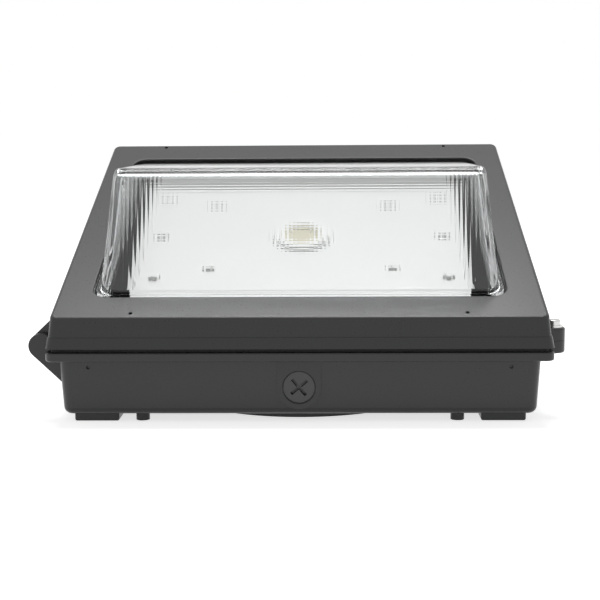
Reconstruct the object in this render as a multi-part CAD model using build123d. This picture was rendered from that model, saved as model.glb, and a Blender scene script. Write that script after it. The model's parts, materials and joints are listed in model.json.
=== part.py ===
from build123d import *
import os
from math import cos, radians, sin, tan

# Outdoor LED wall pack light: a die-cast rear housing, a hinged die-cast door with a pressed glass
# refractor, and the light engine, driver and wiring that the housing holds.
#
# The fixture lies on its back, as it does on a bench. +Z points away from the wall, +Y towards the
# deep end, which is the top when it hangs, and +X towards the closure screws. The origin is the
# centre of the housing on the plane of its feet, which is the wall. Sizes are millimetres and
# degrees. On the sloping door face, v runs up the slope from its low edge and w stands out of it.

# ---- driving dimensions: rear housing casting ----
flange_width = 336.0
flange_length = 236.0
flange_corner = 6.0
flange_thickness = 6.0
flange_rounding = 1.2
housing_height = 49.0
foot_height = 5.5
wall_setback = 7.5
casting_wall = 3.0
housing_draft = 3.2
pan_corner = 7.0
floor_rounding = 5.0
foot_width = 30.0
foot_length = 24.0
foot_inset_x = 23.9
foot_inset_y = 19.5
foot_rounding = 1.5
peg_radius = 4.6
peg_hole_radius = 2.75
peg_inset_x = 54.3
peg_inset_y = 13.5
back_ring_radius = 92.0
back_ring_width = 4.0
pilot_radius = 1.4
pilot_depth = 2.0
wall_pilot_inset = 20.3
wall_pilot_z = 38.2
junction_box_spacing = 88.9
junction_box_hole_radius = 2.4

# ---- driving dimensions: conduit entries and their closure plugs ----
entry_radius = 10.5
entry_z = 24.4
entry_pad_radius = 14.6
entry_pad_proud = 1.0
entry_thread_length = 12.0
entry_chamfer = 0.8
plug_clearance = 0.1
plug_sink = 0.4
plug_length = 11.0
plug_slot_length = 14.0
plug_slot_width = 2.2
plug_slot_depth = 3.5
plug_slot_turn = 40.0

# ---- driving dimensions: housing gasket ----
gasket_inset = 3.8
gasket_width = 4.0
gasket_groove = 2.0

# ---- driving dimensions: door casting ----
parting_gap = 2.5
lip_thickness = 7.4
lip_width = 9.5
lip_lean = 1.3
lip_step = 0.7
door_corner = 5.0
door_draft = 6.05
door_wall = 3.0
near_wall_rise = 12.9
face_slope = 26.5
face_thickness = 3.5
face_rounding = 2.4
opening_side_margin = 28.0
opening_end_margin = 25.35
opening_corner = 10.0
opening_taper = 1.85
opening_rounding = 1.2
face_pilot_spacing = 222.4
face_pilot_margin = 5.7

# ---- driving dimensions: glass refractor and what holds it ----
lens_clearance = 1.6
lens_shoulder = 3.4
lens_draft = 5.3
lens_ridge_height = 66.2
lens_ridge_setback = 56.5
lens_near_height = 1.7
lens_far_height = -2.6
lens_ridge_rounding = 9.0
lens_rounding = 4.0
lens_corner = 9.0
lens_thickness = 5.0
lens_flange_overlap = 6.0
lens_flange_thickness = 4.0
lens_gasket_thickness = 1.5
clip_width = 12.0
clip_thickness = 1.2
clip_lip = 3.0
clip_overlap = 4.5
clip_boss_radius = 4.0
clip_boss_gap = 0.6
clip_head_gap = 0.3
clip_screw_depth = 4.5
clip_corner = 2.0
near_clip_spacing = 100.0

# ---- driving dimensions: hinges ----
hinge_overhang = 6.5
hinge_ear_radius = 8.4
hinge_ear_thickness = 5.0
hinge_ear_gap = 0.4
hinge_ear_inset = 21.0
hinge_notch_clearance = 0.6
hinge_web_low_z = 23.4
hinge_web_high_z = 72.0
hinge_pin_radius = 2.5
hinge_running_clearance = 0.05
hinge_tip_radius = 2.0
hinge_tip_length = 3.8
hinge_tip_clearance = 0.1
hinge_head_radius = 4.2
hinge_head_height = 2.4
hinge_head_gap = 0.3
hinge_slot_width = 1.0
hinge_slot_depth = 1.2

# ---- driving dimensions: closure lugs and captive screws ----
lug_inset = 37.0
lug_radius = 7.5
lug_overhang = 4.5
lug_gap = 0.2
lug_thickness = 8.6
lug_rounding = 1.5
screw_radius = 2.5
screw_length = 19.5
screw_head_radius = 4.3
screw_head_height = 3.8
screw_slot_width = 1.2
screw_slot_depth = 1.6
screw_hole_clearance = 0.35
thread_hole_clearance = 0.3
washer_radius = 5.6
washer_thickness = 1.2
retainer_radius = 4.6
retainer_thickness = 1.5
retainer_clearance = 0.1

# ---- driving dimensions: light engine ----
tray_width = 235.0
tray_length = 152.5
tray_thickness = 1.5
tray_depth = 12.5
tray_rim = 3.0
tray_corner = 3.0
tray_opening_radius = 21.0
tray_screw_inset = 21.35
cob_size = 28.0
cob_thickness = 1.4
cob_emitter_radius = 11.5
cob_emitter_height = 0.6
thermal_pad_thickness = 0.3
holder_radius = 20.5
holder_height = 3.5
holder_window_radius = 12.2
holder_rounding = 1.0
holder_clearance = 0.15
heat_sink_width = 142.0
heat_sink_length = 104.0
heat_sink_base = 5.0
fin_height = 30.0
fin_thickness = 2.0
fin_pitch = 10.0
sink_screw_inset_x = 6.0
sink_screw_inset_v = 8.0
sink_screw_floor = 1.0
lead_hole_radius = 2.0

# ---- driving dimensions: sheet metal brackets ----
bracket_inset = 5.5
bracket_thickness = 2.0
bracket_length = 119.0
bracket_flange = 17.0
bracket_boss_height = 6.0
bracket_boss_radius = 6.0
bracket_boss_spacing = 90.0
bracket_window_margin = 14.0
boss_hole_floor = 1.5

# ---- driving dimensions: LED driver ----
driver_length = 150.0
driver_width = 60.0
driver_height = 36.0
driver_cap_thickness = 4.0
driver_wall_gap = 16.5
driver_boss_height = 4.0
driver_tab_length = 12.0
driver_tab_width = 14.0
driver_tab_thickness = 2.5
driver_rounding = 3.0

# ---- driving dimensions: wiring ----
terminal_length = 33.0
terminal_width = 20.0
terminal_height = 17.0
terminal_pitch = 10.0
terminal_x = -55.0
terminal_inset = 26.5
terminal_well_radius = 3.2
terminal_well_depth = 5.0
terminal_port_radius = 1.8
terminal_port_depth = 6.0
terminal_port_height = 6.0
terminal_screw_radius = 2.8
terminal_screw_height = 2.5
terminal_slot_width = 0.8
ground_x = -92.0
ground_head_height = 3.0
ground_boss_radius = 5.0
ground_boss_height = 4.0
ground_hex_across = 7.0
lead_radius = 1.2
lead_grip = 4.0
lead_lane = 15.0
lead_pitch = 3.6
lead_rise = 3.0
lead_corner = 18.0
led_lead_rise = 22.0
led_lead_reach = 32.0

# ---- driving dimensions: small machine screws ----
m4_radius = 1.9
m4_hole_clearance = 0.1
m4_through_clearance = 0.35
m4_head_radius = 3.6
m4_head_height = 2.4
m4_boss_grip = 5.0
m4_head_chamfer = 0.7

# ---- derived places of the castings ----
floor_z = foot_height + casting_wall
flange_low_z = housing_height - flange_thickness
pan_width = flange_width - 2 * wall_setback
pan_length = flange_length - 2 * wall_setback
housing_lean = tan(radians(housing_draft))
foot_spacing_x = pan_width - 2 * foot_inset_x
foot_spacing_y = pan_length - 2 * foot_inset_y
peg_spacing_x = pan_width - 2 * peg_inset_x
peg_spacing_y = pan_length - 2 * peg_inset_y
wall_pilot_spacing = pan_width - 2 * wall_pilot_inset
lip_low_z = housing_height + parting_gap
lip_top_z = lip_low_z + lip_thickness
door_lean = tan(radians(door_draft))
door_inset = lip_lean + lip_step
door_base_width = flange_width - 2 * door_inset
door_base_length = flange_length - 2 * door_inset
slope_sin = sin(radians(face_slope))
slope_cos = cos(radians(face_slope))
slope_tan = tan(radians(face_slope))
face_low_y = -door_base_length / 2 + near_wall_rise * door_lean
face_low_z = lip_top_z + near_wall_rise
face_run = (door_base_length / 2 - face_low_y - near_wall_rise * door_lean) / (1 + slope_tan * door_lean)
face_length = face_run / slope_cos
face_high_z = face_low_z + face_run * slope_tan
face_mid_v = face_length / 2
face_frame = Plane(origin=(0, face_low_y, face_low_z), x_dir=(1, 0, 0), z_dir=(0, -slope_sin, slope_cos))
opening_width = flange_width - 2 * opening_side_margin
opening_length = face_length - 2 * opening_end_margin
beyond = 400.0

# ---- derived places of what the door holds ----
taper_tan = tan(radians(opening_taper))
taper_reach = 1 / cos(radians(opening_taper)) + taper_tan
lens_length = opening_length - 2 * lens_clearance
lens_near_v = face_mid_v - lens_length / 2
lens_ridge_v = lens_near_v + lens_ridge_setback
lens_flange_top = -face_thickness - lens_gasket_thickness
lens_flange_low = lens_flange_top - lens_flange_thickness
lens_flange_length = opening_length + 2 * lens_flange_overlap
lens_flange_mid_width = opening_width + 2 * lens_flange_overlap - opening_length * taper_tan
clip_reach = clip_boss_radius + clip_boss_gap

# ---- derived places of the hinge and the closure ----
hinge_x = -flange_width / 2 - hinge_overhang
hinge_z = housing_height + parting_gap / 2
lug_x = flange_width / 2 + lug_overhang
lug_split_z = lip_low_z - lug_gap
lug_top_z = lip_low_z + lug_thickness
lug_low_z = lug_split_z - lug_thickness
lug_y = flange_length / 2 - lug_inset

# ---- derived places of the light engine ----
tray_low = -tray_depth - tray_thickness
heat_sink_low = tray_low - heat_sink_base
bracket_spacing = tray_width - 2 * bracket_inset
bracket_foot_z = floor_z + bracket_boss_height
bracket_mid_y = face_low_y + face_mid_v * slope_cos - tray_low * slope_sin
driver_low_z = floor_z + driver_boss_height
driver_tab_x = driver_length / 2 + driver_cap_thickness + driver_tab_length / 2
driver_y = pan_length / 2 - driver_wall_gap - driver_width / 2
terminal_y = -pan_length / 2 + terminal_inset
ground_y = terminal_y


def on_face(x, v, w=0.0):
    """A place on the sloping door face: across, up the slope, and out of it."""
    return face_frame * Pos(x, v, w)


def face_point(x, v, w):
    """The same place as a point in the fixture's own frame."""
    y = face_low_y + v * slope_cos - w * slope_sin
    z = face_low_z + v * slope_sin + w * slope_cos
    return (x, y, z)


def below_face(w):
    """Everything under the plane that lies w above the door face."""
    return face_frame * Pos(0, 0, w - beyond) * Box(2 * beyond, 2 * beyond, 2 * beyond)


def upright(width, length, corner, low_z, high_z):
    """A plate or ring blank with rounded corners, between two heights."""
    outline = RectangleRounded(width, length, corner)
    return extrude(Pos(0, 0, low_z) * outline, high_z - low_z)


def leaning(low_size, high_size, corner, low_z, high_z):
    """A rounded rectangle whose walls lean, from its size at low_z to its size at high_z."""
    low = Pos(0, 0, low_z) * RectangleRounded(low_size[0], low_size[1], corner)
    high = Pos(0, 0, high_z) * RectangleRounded(high_size[0], high_size[1], corner)
    return loft([low, high], ruled=True)


def opening_outline(grow, corner, side_inset=0.0):
    """The door opening's outline, grown by a margin: it narrows a little towards its far edge."""
    half_length = opening_length / 2 + grow
    near_x = opening_width / 2 + grow * taper_reach - side_inset
    far_x = near_x - 2 * half_length * taper_tan
    low = [(-near_x, -half_length), (near_x, -half_length)]
    high = [(far_x, half_length), (-far_x, half_length)]
    outline = make_face(Polyline(*low, *high, close=True))
    return fillet(outline.vertices(), corner)


def cylinder_up(radius, low_z, high_z, x=0.0, y=0.0):
    """An upright cylinder between two heights."""
    return extrude(Pos(x, y, low_z) * Circle(radius), high_z - low_z)


def four_places(spacing_x, spacing_y):
    """The four corners of a rectangle about the origin."""
    return [(sx * spacing_x / 2, sy * spacing_y / 2) for sx in (-1, 1) for sy in (-1, 1)]


def machine_screw(shank_length):
    """An M4 pan head screw, its head's seat at z = 0 and its shank pointing down."""
    head = cylinder_up(m4_head_radius, 0, m4_head_height)
    head = chamfer(head.edges().group_by(Axis.Z)[-1], m4_head_chamfer)
    shank = cylinder_up(m4_radius, -shank_length, 0)
    return head + shank


# ---- rear housing ----
def hinge_ear(web_low_z, web_high_z, web_x, y_low):
    """A round ear about the hinge axis, drawn out in a web to the casting's wall."""
    disc = Pos(hinge_x, hinge_z) * Circle(hinge_ear_radius)
    wall_line = Line((web_x, web_low_z), (web_x, web_high_z))
    outline = make_hull(disc.edges() + [wall_line])
    facing = Plane(origin=(0, y_low, 0), x_dir=(1, 0, 0), z_dir=(0, -1, 0))
    return extrude(facing * outline, -hinge_ear_thickness)


def hinge_barrel(radius, y_low, y_high):
    """A cylinder along the hinge axis."""
    place = Plane(origin=(hinge_x, y_low, hinge_z), x_dir=(1, 0, 0), z_dir=(0, 1, 0))
    return extrude(place * Circle(radius), y_high - y_low)


def hinge_spans(side):
    """The Y ranges of the housing ear and the door ear of one hinge; side is -1 near, 1 far."""
    outer = flange_length / 2 - hinge_ear_inset
    middle = outer - hinge_ear_thickness
    door_outer = middle - hinge_ear_gap
    inner = door_outer - hinge_ear_thickness
    housing_span = sorted((side * outer, side * middle))
    door_span = sorted((side * door_outer, side * inner))
    return housing_span, door_span


def lug(y, low_z, high_z):
    """A closure lug: a round nose on tapering cheeks that grow out of the flange."""
    nose = Pos(lug_x, y) * Circle(lug_radius)
    root_x = flange_width / 2 - gasket_inset / 2
    root = Line((root_x, y - lug_radius * 1.3), (root_x, y + lug_radius * 1.3))
    outline = make_hull(nose.edges() + [root])
    return extrude(Pos(0, 0, low_z) * outline, high_z - low_z)


def entry_frames():
    """Where the four conduit entries open: bottom, top, left and right, looking outwards."""
    half_length = pan_length / 2 + entry_pad_proud / 2
    half_width = pan_width / 2 + entry_pad_proud / 2
    return {
        "bottom": Plane(origin=(0, -half_length, entry_z), x_dir=(1, 0, 0), z_dir=(0, -1, 0)),
        "top": Plane(origin=(0, half_length, entry_z), x_dir=(-1, 0, 0), z_dir=(0, 1, 0)),
        "left": Plane(origin=(-half_width, 0, entry_z), x_dir=(0, -1, 0), z_dir=(-1, 0, 0)),
        "right": Plane(origin=(half_width, 0, entry_z), x_dir=(0, 1, 0), z_dir=(1, 0, 0)),
    }


def entry_pad(frame):
    """A flat pad on the wall, round below and straight up to the flange."""
    up = flange_low_z - entry_z
    outline = Circle(entry_pad_radius) + Pos(0, up / 2) * Rectangle(2 * entry_pad_radius, up)
    pad = extrude(frame * outline, -(casting_wall + entry_pad_proud))
    hub = extrude(frame * Circle(entry_pad_radius), -entry_thread_length)
    return pad + hub


def entry_hole(frame):
    """The threaded hole with its chamfered mouth."""
    hole = extrude(frame * Circle(entry_radius), -2 * entry_thread_length)
    mouth_plane = frame.offset(-entry_chamfer)
    mouth = extrude(mouth_plane * Circle(entry_radius), entry_chamfer, taper=-45)
    return hole + mouth


def tapped_hole(high_z, x, y):
    """The hole for an M4 screw, down from the top of a floor boss."""
    return cylinder_up(m4_radius + m4_hole_clearance, foot_height + boss_hole_floor, high_z, x, y)


def make_rear_housing():
    """The cast pan with its flange, feet, entries, bosses, hinge ears and closure lugs."""
    lean_in = (flange_low_z - foot_height) * housing_lean
    back_size = (pan_width - 2 * lean_in, pan_length - 2 * lean_in)
    pan = leaning(back_size, (pan_width, pan_length), pan_corner, foot_height, flange_low_z)
    pan = fillet(pan.edges().group_by(Axis.Z)[0], floor_rounding)
    flange = upright(flange_width, flange_length, flange_corner, flange_low_z, housing_height)
    flange = fillet(flange.edges().group_by(Axis.Z)[0], flange_rounding)
    flange = fillet(flange.edges().group_by(Axis.Z)[-1], flange_rounding)
    body = pan + flange
    for side in (-1, 1):
        housing_span, _ = hinge_spans(side)
        web_x = -pan_width / 2 + casting_wall * 0.7
        web = hinge_ear(hinge_web_low_z, flange_low_z, web_x, housing_span[0])
        web_cap = Pos(0, 0, housing_height - beyond) * Box(2 * beyond, 2 * beyond, 2 * beyond)
        disc = hinge_barrel(hinge_ear_radius, housing_span[0], housing_span[1])
        body += (web & web_cap) + disc
        body += fillet_lug(lug(side * lug_y, lug_low_z, lug_split_z), 0)
    for x, y in four_places(foot_spacing_x, foot_spacing_y):
        foot = Pos(x, y, floor_z / 2) * Box(foot_width, foot_length, floor_z)
        foot = fillet(foot.edges().filter_by(Axis.Z), foot_rounding)
        body += fillet(foot.edges().group_by(Axis.Z)[0], foot_rounding * 0.9)
    for x, y in four_places(peg_spacing_x, peg_spacing_y):
        body += cylinder_up(peg_radius, 0, floor_z, x, y)
    body += cylinder_up(back_ring_radius, 0, floor_z) - cylinder_up(
        back_ring_radius - back_ring_width, 0, foot_height
    )
    body += cylinder_up(entry_pad_radius, foot_height, floor_z)
    for frame in entry_frames().values():
        body += entry_pad(frame)

    inner_lean = (housing_height - floor_z) * housing_lean
    mouth = (pan_width - 2 * casting_wall, pan_length - 2 * casting_wall)
    inner_floor = (mouth[0] - 2 * inner_lean, mouth[1] - 2 * inner_lean)
    cavity = leaning(inner_floor, mouth, pan_corner - casting_wall, floor_z, housing_height)
    hubs = Part()
    for frame in entry_frames().values():
        hubs += extrude(frame * Circle(entry_pad_radius), -entry_thread_length)
    body = body - (cavity - hubs)

    body += cylinder_up(entry_pad_radius, foot_height, foot_height + entry_thread_length)
    for x, y in bracket_boss_places():
        body += cylinder_up(bracket_boss_radius, foot_height, bracket_foot_z, x, y)
        body -= tapped_hole(bracket_foot_z, x, y)
    for x in (-driver_tab_x, driver_tab_x):
        body += cylinder_up(bracket_boss_radius, foot_height, driver_low_z, x, driver_y)
        body -= tapped_hole(driver_low_z, x, driver_y)
    body += cylinder_up(ground_boss_radius, foot_height, floor_z + ground_boss_height, ground_x, ground_y)
    body -= tapped_hole(floor_z + ground_boss_height, ground_x, ground_y)

    body -= gasket_ring(housing_height - gasket_groove, housing_height)
    for frame in entry_frames().values():
        body -= entry_hole(frame)
    body -= cylinder_up(entry_radius, 0, housing_height)
    for x, y in four_places(peg_spacing_x, peg_spacing_y):
        body -= cylinder_up(peg_hole_radius, 0, floor_z, x, y)
    for side in (-1, 1):
        body -= cylinder_up(junction_box_hole_radius, 0, floor_z, side * junction_box_spacing / 2, 0)
        _, door_span = hinge_spans(side)
        notch_radius = hinge_ear_radius + hinge_notch_clearance
        body -= hinge_barrel(notch_radius, door_span[0] - hinge_ear_gap, door_span[1] + hinge_ear_gap)
        root = side * (flange_length / 2 - hinge_ear_inset - hinge_ear_thickness)
        tip_hole = sorted((root, root + side * (hinge_tip_length + hinge_tip_clearance)))
        body -= hinge_barrel(hinge_tip_radius + hinge_tip_clearance, *tip_hole)
        hole_radius = screw_radius + thread_hole_clearance
        body -= cylinder_up(hole_radius, lug_low_z, lug_split_z, lug_x, side * lug_y)
        pilot = Plane(
            origin=(side * wall_pilot_spacing / 2, -pan_length / 2, wall_pilot_z),
            x_dir=(1, 0, 0),
            z_dir=(0, -1, 0),
        )
        body -= extrude(pilot.offset(pilot_depth) * Circle(pilot_radius), -2 * pilot_depth)
    return body


def fillet_lug(blank, end):
    """Rounds a lug's outward edge: end 0 is the lower rim, -1 the upper rim."""
    rim = blank.edges().group_by(Axis.Z)[end]
    return fillet(rim.sort_by(Axis.X)[-1], lug_rounding)


def gasket_ring(low_z, high_z):
    """The sealing ring's space between two heights."""
    outer = 2 * gasket_inset
    inner = outer + 2 * gasket_width
    corner = flange_corner - gasket_inset
    blank = upright(flange_width - outer, flange_length - outer, corner, low_z, high_z)
    hole = upright(flange_width - inner, flange_length - inner, corner / 2, low_z, high_z)
    return blank - hole


def make_housing_gasket():
    """The silicone ring that stands in the flange groove and meets the door's lip."""
    return gasket_ring(housing_height - gasket_groove, lip_low_z)


def make_plug(frame):
    """A threaded closure plug with a cross recess, just below the face of its entry."""
    face = frame.offset(-plug_sink - entry_chamfer)
    plug = extrude(face * Circle(entry_radius - plug_clearance), -plug_length)
    cross = Rectangle(plug_slot_length, plug_slot_width) + Rectangle(plug_slot_width, plug_slot_length)
    recess = extrude(face * Rot(0, 0, plug_slot_turn) * cross, -plug_slot_depth)
    return plug - recess


# ---- door ----
def make_door_frame():
    """The cast door: leaning walls, a lip, the sloping face with its opening, ears and lugs."""
    high_z = face_high_z + casting_wall
    lean_in = (high_z - lip_top_z) * door_lean
    base = (door_base_width, door_base_length)
    crown = (base[0] - 2 * lean_in, base[1] - 2 * lean_in)
    shell = leaning(base, crown, door_corner, lip_top_z, high_z) & below_face(0)
    face_edges = [edge for edge in shell.edges() if on_plane(edge, 0)]
    shell = fillet(face_edges, face_rounding)
    lip_size = (flange_width, flange_length)
    lip_high = (flange_width - 2 * lip_lean, flange_length - 2 * lip_lean)
    lip = leaning(lip_size, lip_high, flange_corner, lip_low_z, lip_top_z)
    body = shell + lip

    for side in (-1, 1):
        _, door_span = hinge_spans(side)
        web_x = -door_base_width / 2 + door_wall * 0.8
        web = hinge_ear(lip_top_z, hinge_web_high_z, web_x, door_span[0])
        web_floor = Pos(0, 0, lip_low_z + beyond) * Box(2 * beyond, 2 * beyond, 2 * beyond)
        disc = hinge_barrel(hinge_ear_radius, door_span[0], door_span[1])
        body += (web & web_floor) + disc
        body += fillet_lug(lug(side * lug_y, lip_low_z, lug_top_z), -1)

    inner_base = (base[0] - 2 * door_wall, base[1] - 2 * door_wall)
    inner_crown = (crown[0] - 2 * door_wall, crown[1] - 2 * door_wall)
    cavity = leaning(inner_base, inner_crown, door_corner - door_wall, lip_top_z, high_z)
    body -= cavity & below_face(-face_thickness)
    mouth_width = flange_width - 2 * lip_width
    mouth_length = flange_length - 2 * lip_width
    body -= upright(mouth_width, mouth_length, door_corner, lip_low_z, lip_top_z)
    opening = opening_outline(0, opening_corner)
    body -= extrude(on_face(0, face_mid_v) * opening, 2 * face_thickness, both=True)
    opening_edges = [edge for edge in body.edges() if on_plane(edge, 0) and in_opening(edge)]
    body = fillet(opening_edges, opening_rounding)

    for x, v in clip_places():
        boss_height = lens_flange_low + face_thickness
        body += extrude(on_face(x, v, -face_thickness) * Circle(clip_boss_radius), boss_height)
        hole = extrude(on_face(x, v, lens_flange_low) * Circle(m4_radius + m4_hole_clearance), m4_boss_grip)
        body -= hole
    for x in (-face_pilot_spacing / 2, face_pilot_spacing / 2):
        for v in (face_pilot_margin, face_length - face_pilot_margin):
            body -= extrude(on_face(x, v, -pilot_depth) * Circle(pilot_radius), 2 * pilot_depth)
    for side in (-1, 1):
        housing_span, door_span = hinge_spans(side)
        notch_radius = hinge_ear_radius + hinge_notch_clearance
        body -= hinge_barrel(notch_radius, housing_span[0] - hinge_ear_gap, housing_span[1] + hinge_ear_gap)
        bore_radius = hinge_pin_radius + hinge_running_clearance
        body -= hinge_barrel(bore_radius, door_span[0], door_span[1])
        y = side * lug_y
        body -= cylinder_up(screw_radius + screw_hole_clearance, lip_low_z, lug_top_z, lug_x, y)
        counterbore = retainer_radius + retainer_clearance
        body -= cylinder_up(counterbore, lip_low_z, lip_low_z + retainer_thickness, lug_x, y)
    return body


def on_plane(edge, w):
    """Whether an edge lies on the plane at height w over the door face."""
    local = [face_frame.to_local_coords(edge.position_at(t)).Z for t in (0.0, 0.5, 1.0)]
    return all(abs(z - w) < 0.01 for z in local)


def in_opening(edge):
    """Whether the middle of an edge on the door face belongs to the opening and not to the face's rim."""
    middle = face_frame.to_local_coords(edge.position_at(0.5))
    in_width = abs(middle.X) < opening_width / 2 + face_rounding
    return in_width and abs(middle.Y - face_mid_v) < opening_length / 2 + face_rounding


# ---- refractor, its gasket and its clips ----
def lens_blank(inset, low_w, high_w):
    """The glass dome's walls: the opening's outline, set in at the sides and leaning in as it rises."""
    sections = []
    for w in (low_w, high_w):
        lean_in = (w + face_thickness) * tan(radians(lens_draft))
        outline = opening_outline(-lens_clearance - inset - lean_in, lens_corner - 0.5 * inset, lens_shoulder)
        sections.append(on_face(0, face_mid_v, w) * outline)
    return loft(sections, ruled=True)


def lens_wedge(inset):
    """The wedge under the glass's two planes, its ridge rounded, set in on every side by a thickness."""
    low_w = lens_flange_low - 2 * lens_thickness
    near_slope, far_slope = lens_slopes()
    near_v = lens_ridge_v - (lens_ridge_height - low_w) / near_slope
    far_v = lens_ridge_v + (lens_ridge_height - low_w) / far_slope
    ridge = (lens_ridge_v, lens_ridge_height)
    section = make_face(Polyline((near_v, low_w), ridge, (far_v, low_w), close=True))
    section = fillet(section.vertices().sort_by(Axis.Y)[-1], lens_ridge_rounding)
    if inset:
        section = offset(section, -inset)
    section_plane = Plane(origin=face_point(0, 0, 0), x_dir=(0, slope_cos, slope_sin), z_dir=(1, 0, 0))
    return extrude(section_plane * section, opening_width, both=True)


def lens_slopes():
    """How steeply the steep near plane and the long far plane rise over the door face to the ridge."""
    near_slope = (lens_ridge_height - lens_near_height) / lens_ridge_setback
    far_slope = (lens_ridge_height - lens_far_height) / (lens_length - lens_ridge_setback)
    return near_slope, far_slope


def make_refractor():
    """The pressed glass: a base that fills the opening, a wedge-shaped dome on it and a flange under it."""
    top = lens_ridge_height + lens_thickness
    dome = lens_blank(0, -face_thickness, top) & lens_wedge(0)
    dome = fillet([edge for edge in dome.edges() if is_rim(edge)], lens_rounding)
    low_plane = on_face(0, face_mid_v, lens_flange_low)
    base = extrude(low_plane * opening_outline(-lens_clearance, lens_corner), -lens_flange_low)
    flange_outline = opening_outline(lens_flange_overlap, lens_corner + lens_flange_overlap)
    flange = extrude(low_plane * flange_outline, lens_flange_thickness)
    inside = lens_blank(lens_thickness, lens_flange_low, top) & lens_wedge(lens_thickness)
    return dome + (base & lens_wedge(0)) + flange - inside


def is_rim(edge):
    """Whether an edge runs round the dome's rim, where its walls meet its two planes and its ridge."""
    points = [face_frame.to_local_coords(edge.position_at(t)) for t in (0.0, 0.5, 1.0)]
    near_slope, far_slope = lens_slopes()
    for point in points:
        near_plane = lens_ridge_height - (lens_ridge_v - point.Y) * near_slope
        far_plane = lens_ridge_height - (point.Y - lens_ridge_v) * far_slope
        depth = min(near_plane, far_plane) - point.Z
        in_ridge = abs(point.Y - lens_ridge_v) < lens_ridge_rounding
        if depth > (lens_ridge_rounding if in_ridge else 0.01):
            return False
    crosses = abs(points[0].X - points[2].X) > opening_width / 2
    at_ends = abs(points[1].Y - face_mid_v) > lens_length / 2 - lens_corner
    return at_ends or not crosses


def make_lens_gasket():
    """The flat silicone ring between the door face and the glass flange."""
    outer = opening_outline(lens_flange_overlap, lens_corner + lens_flange_overlap)
    inner = opening_outline(0, opening_corner)
    return extrude(on_face(0, face_mid_v, lens_flange_top) * (outer - inner), lens_gasket_thickness)


def clip_places():
    """The centres of the clip bosses, as (x, v): three low, three high and one on each side."""
    low_v = face_mid_v - lens_flange_length / 2 - clip_reach
    high_v = face_mid_v + lens_flange_length / 2 + clip_reach
    side_x = lens_flange_mid_width / 2 + clip_reach
    across = (-near_clip_spacing, 0.0, near_clip_spacing)
    places = [(x, low_v) for x in across] + [(x, high_v) for x in across]
    return places + [(-side_x, face_mid_v), (side_x, face_mid_v)]


def clip_turns():
    """How far each clip turns about its screw so that its tongue points at the glass."""
    return [0.0] * 3 + [180.0] * 3 + [-90.0, 90.0]


def make_lens_clip(place, turn):
    """A bent steel clip: a tongue over the glass flange and a stiffening lip behind the screw."""
    back = m4_head_radius + clip_head_gap + clip_thickness
    front = clip_reach + clip_overlap
    tongue = Pos(0, (front - back) / 2) * RectangleRounded(clip_width, front + back, clip_corner)
    seat = on_face(place[0], place[1], lens_flange_low) * Rot(0, 0, turn)
    plate = extrude(seat * tongue, -clip_thickness)
    lip_place = Pos(0, -back + clip_thickness / 2) * Rectangle(clip_width - 2 * clip_corner, clip_thickness)
    lip = extrude(seat * lip_place, -clip_lip)
    hole = extrude(seat * Circle(m4_radius + m4_through_clearance), -2 * clip_thickness)
    return plate + lip - hole


def screws_under_face(places, w, shank_length):
    """Screws driven from inside the door, their heads pointing inwards."""
    screws = Part()
    for x, v in places:
        screws += on_face(x, v, w) * Rot(180, 0, 0) * machine_screw(shank_length)
    return screws


# ---- hinge screws and closure screws ----
def make_hinge_screw(side):
    """A shoulder screw: the door ear turns on its shoulder, its tip is held in the housing ear."""
    root = side * (flange_length / 2 - hinge_ear_inset - hinge_ear_thickness)
    head_seat = root - side * (hinge_ear_gap + hinge_ear_thickness + hinge_head_gap)
    shoulder = hinge_barrel(hinge_pin_radius, *sorted((root, head_seat)))
    tip = hinge_barrel(hinge_tip_radius, *sorted((root, root + side * hinge_tip_length)))
    head_end = head_seat - side * hinge_head_height
    head = hinge_barrel(hinge_head_radius, *sorted((head_seat, head_end)))
    slot_y = head_end + side * hinge_slot_depth / 2
    slot = Pos(hinge_x, slot_y, hinge_z) * Box(3 * hinge_head_radius, hinge_slot_depth, hinge_slot_width)
    return shoulder + tip + (head - slot)


def make_closure_screw(y):
    """A captive slotted screw through the door lug into the housing lug."""
    seat_z = lug_top_z + washer_thickness
    shank = cylinder_up(screw_radius, seat_z - screw_length, seat_z, lug_x, y)
    shank = chamfer(shank.edges().group_by(Axis.Z)[0], screw_radius * 0.3)
    head = cylinder_up(screw_head_radius, seat_z, seat_z + screw_head_height, lug_x, y)
    head = fillet(head.edges().group_by(Axis.Z)[-1], screw_head_height * 0.3)
    slot_z = seat_z + screw_head_height - screw_slot_depth / 2
    slot = Pos(lug_x, y, slot_z) * Box(2 * screw_head_radius + 1, screw_slot_width, screw_slot_depth)
    return shank + (head - slot)


def make_closure_washer(y):
    """The steel washer under a closure screw's head."""
    bore = screw_radius + screw_hole_clearance
    outer = cylinder_up(washer_radius, lug_top_z, lug_top_z + washer_thickness, lug_x, y)
    return outer - cylinder_up(bore, lug_top_z, lug_top_z + washer_thickness, lug_x, y)


def make_retainer(y):
    """The nylon ring in the door lug's counterbore that keeps the loosened screw with the door."""
    high_z = lip_low_z + retainer_thickness
    outer = cylinder_up(retainer_radius, lip_low_z, high_z, lug_x, y)
    return outer - cylinder_up(screw_radius + retainer_clearance, lip_low_z, high_z, lug_x, y)


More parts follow.
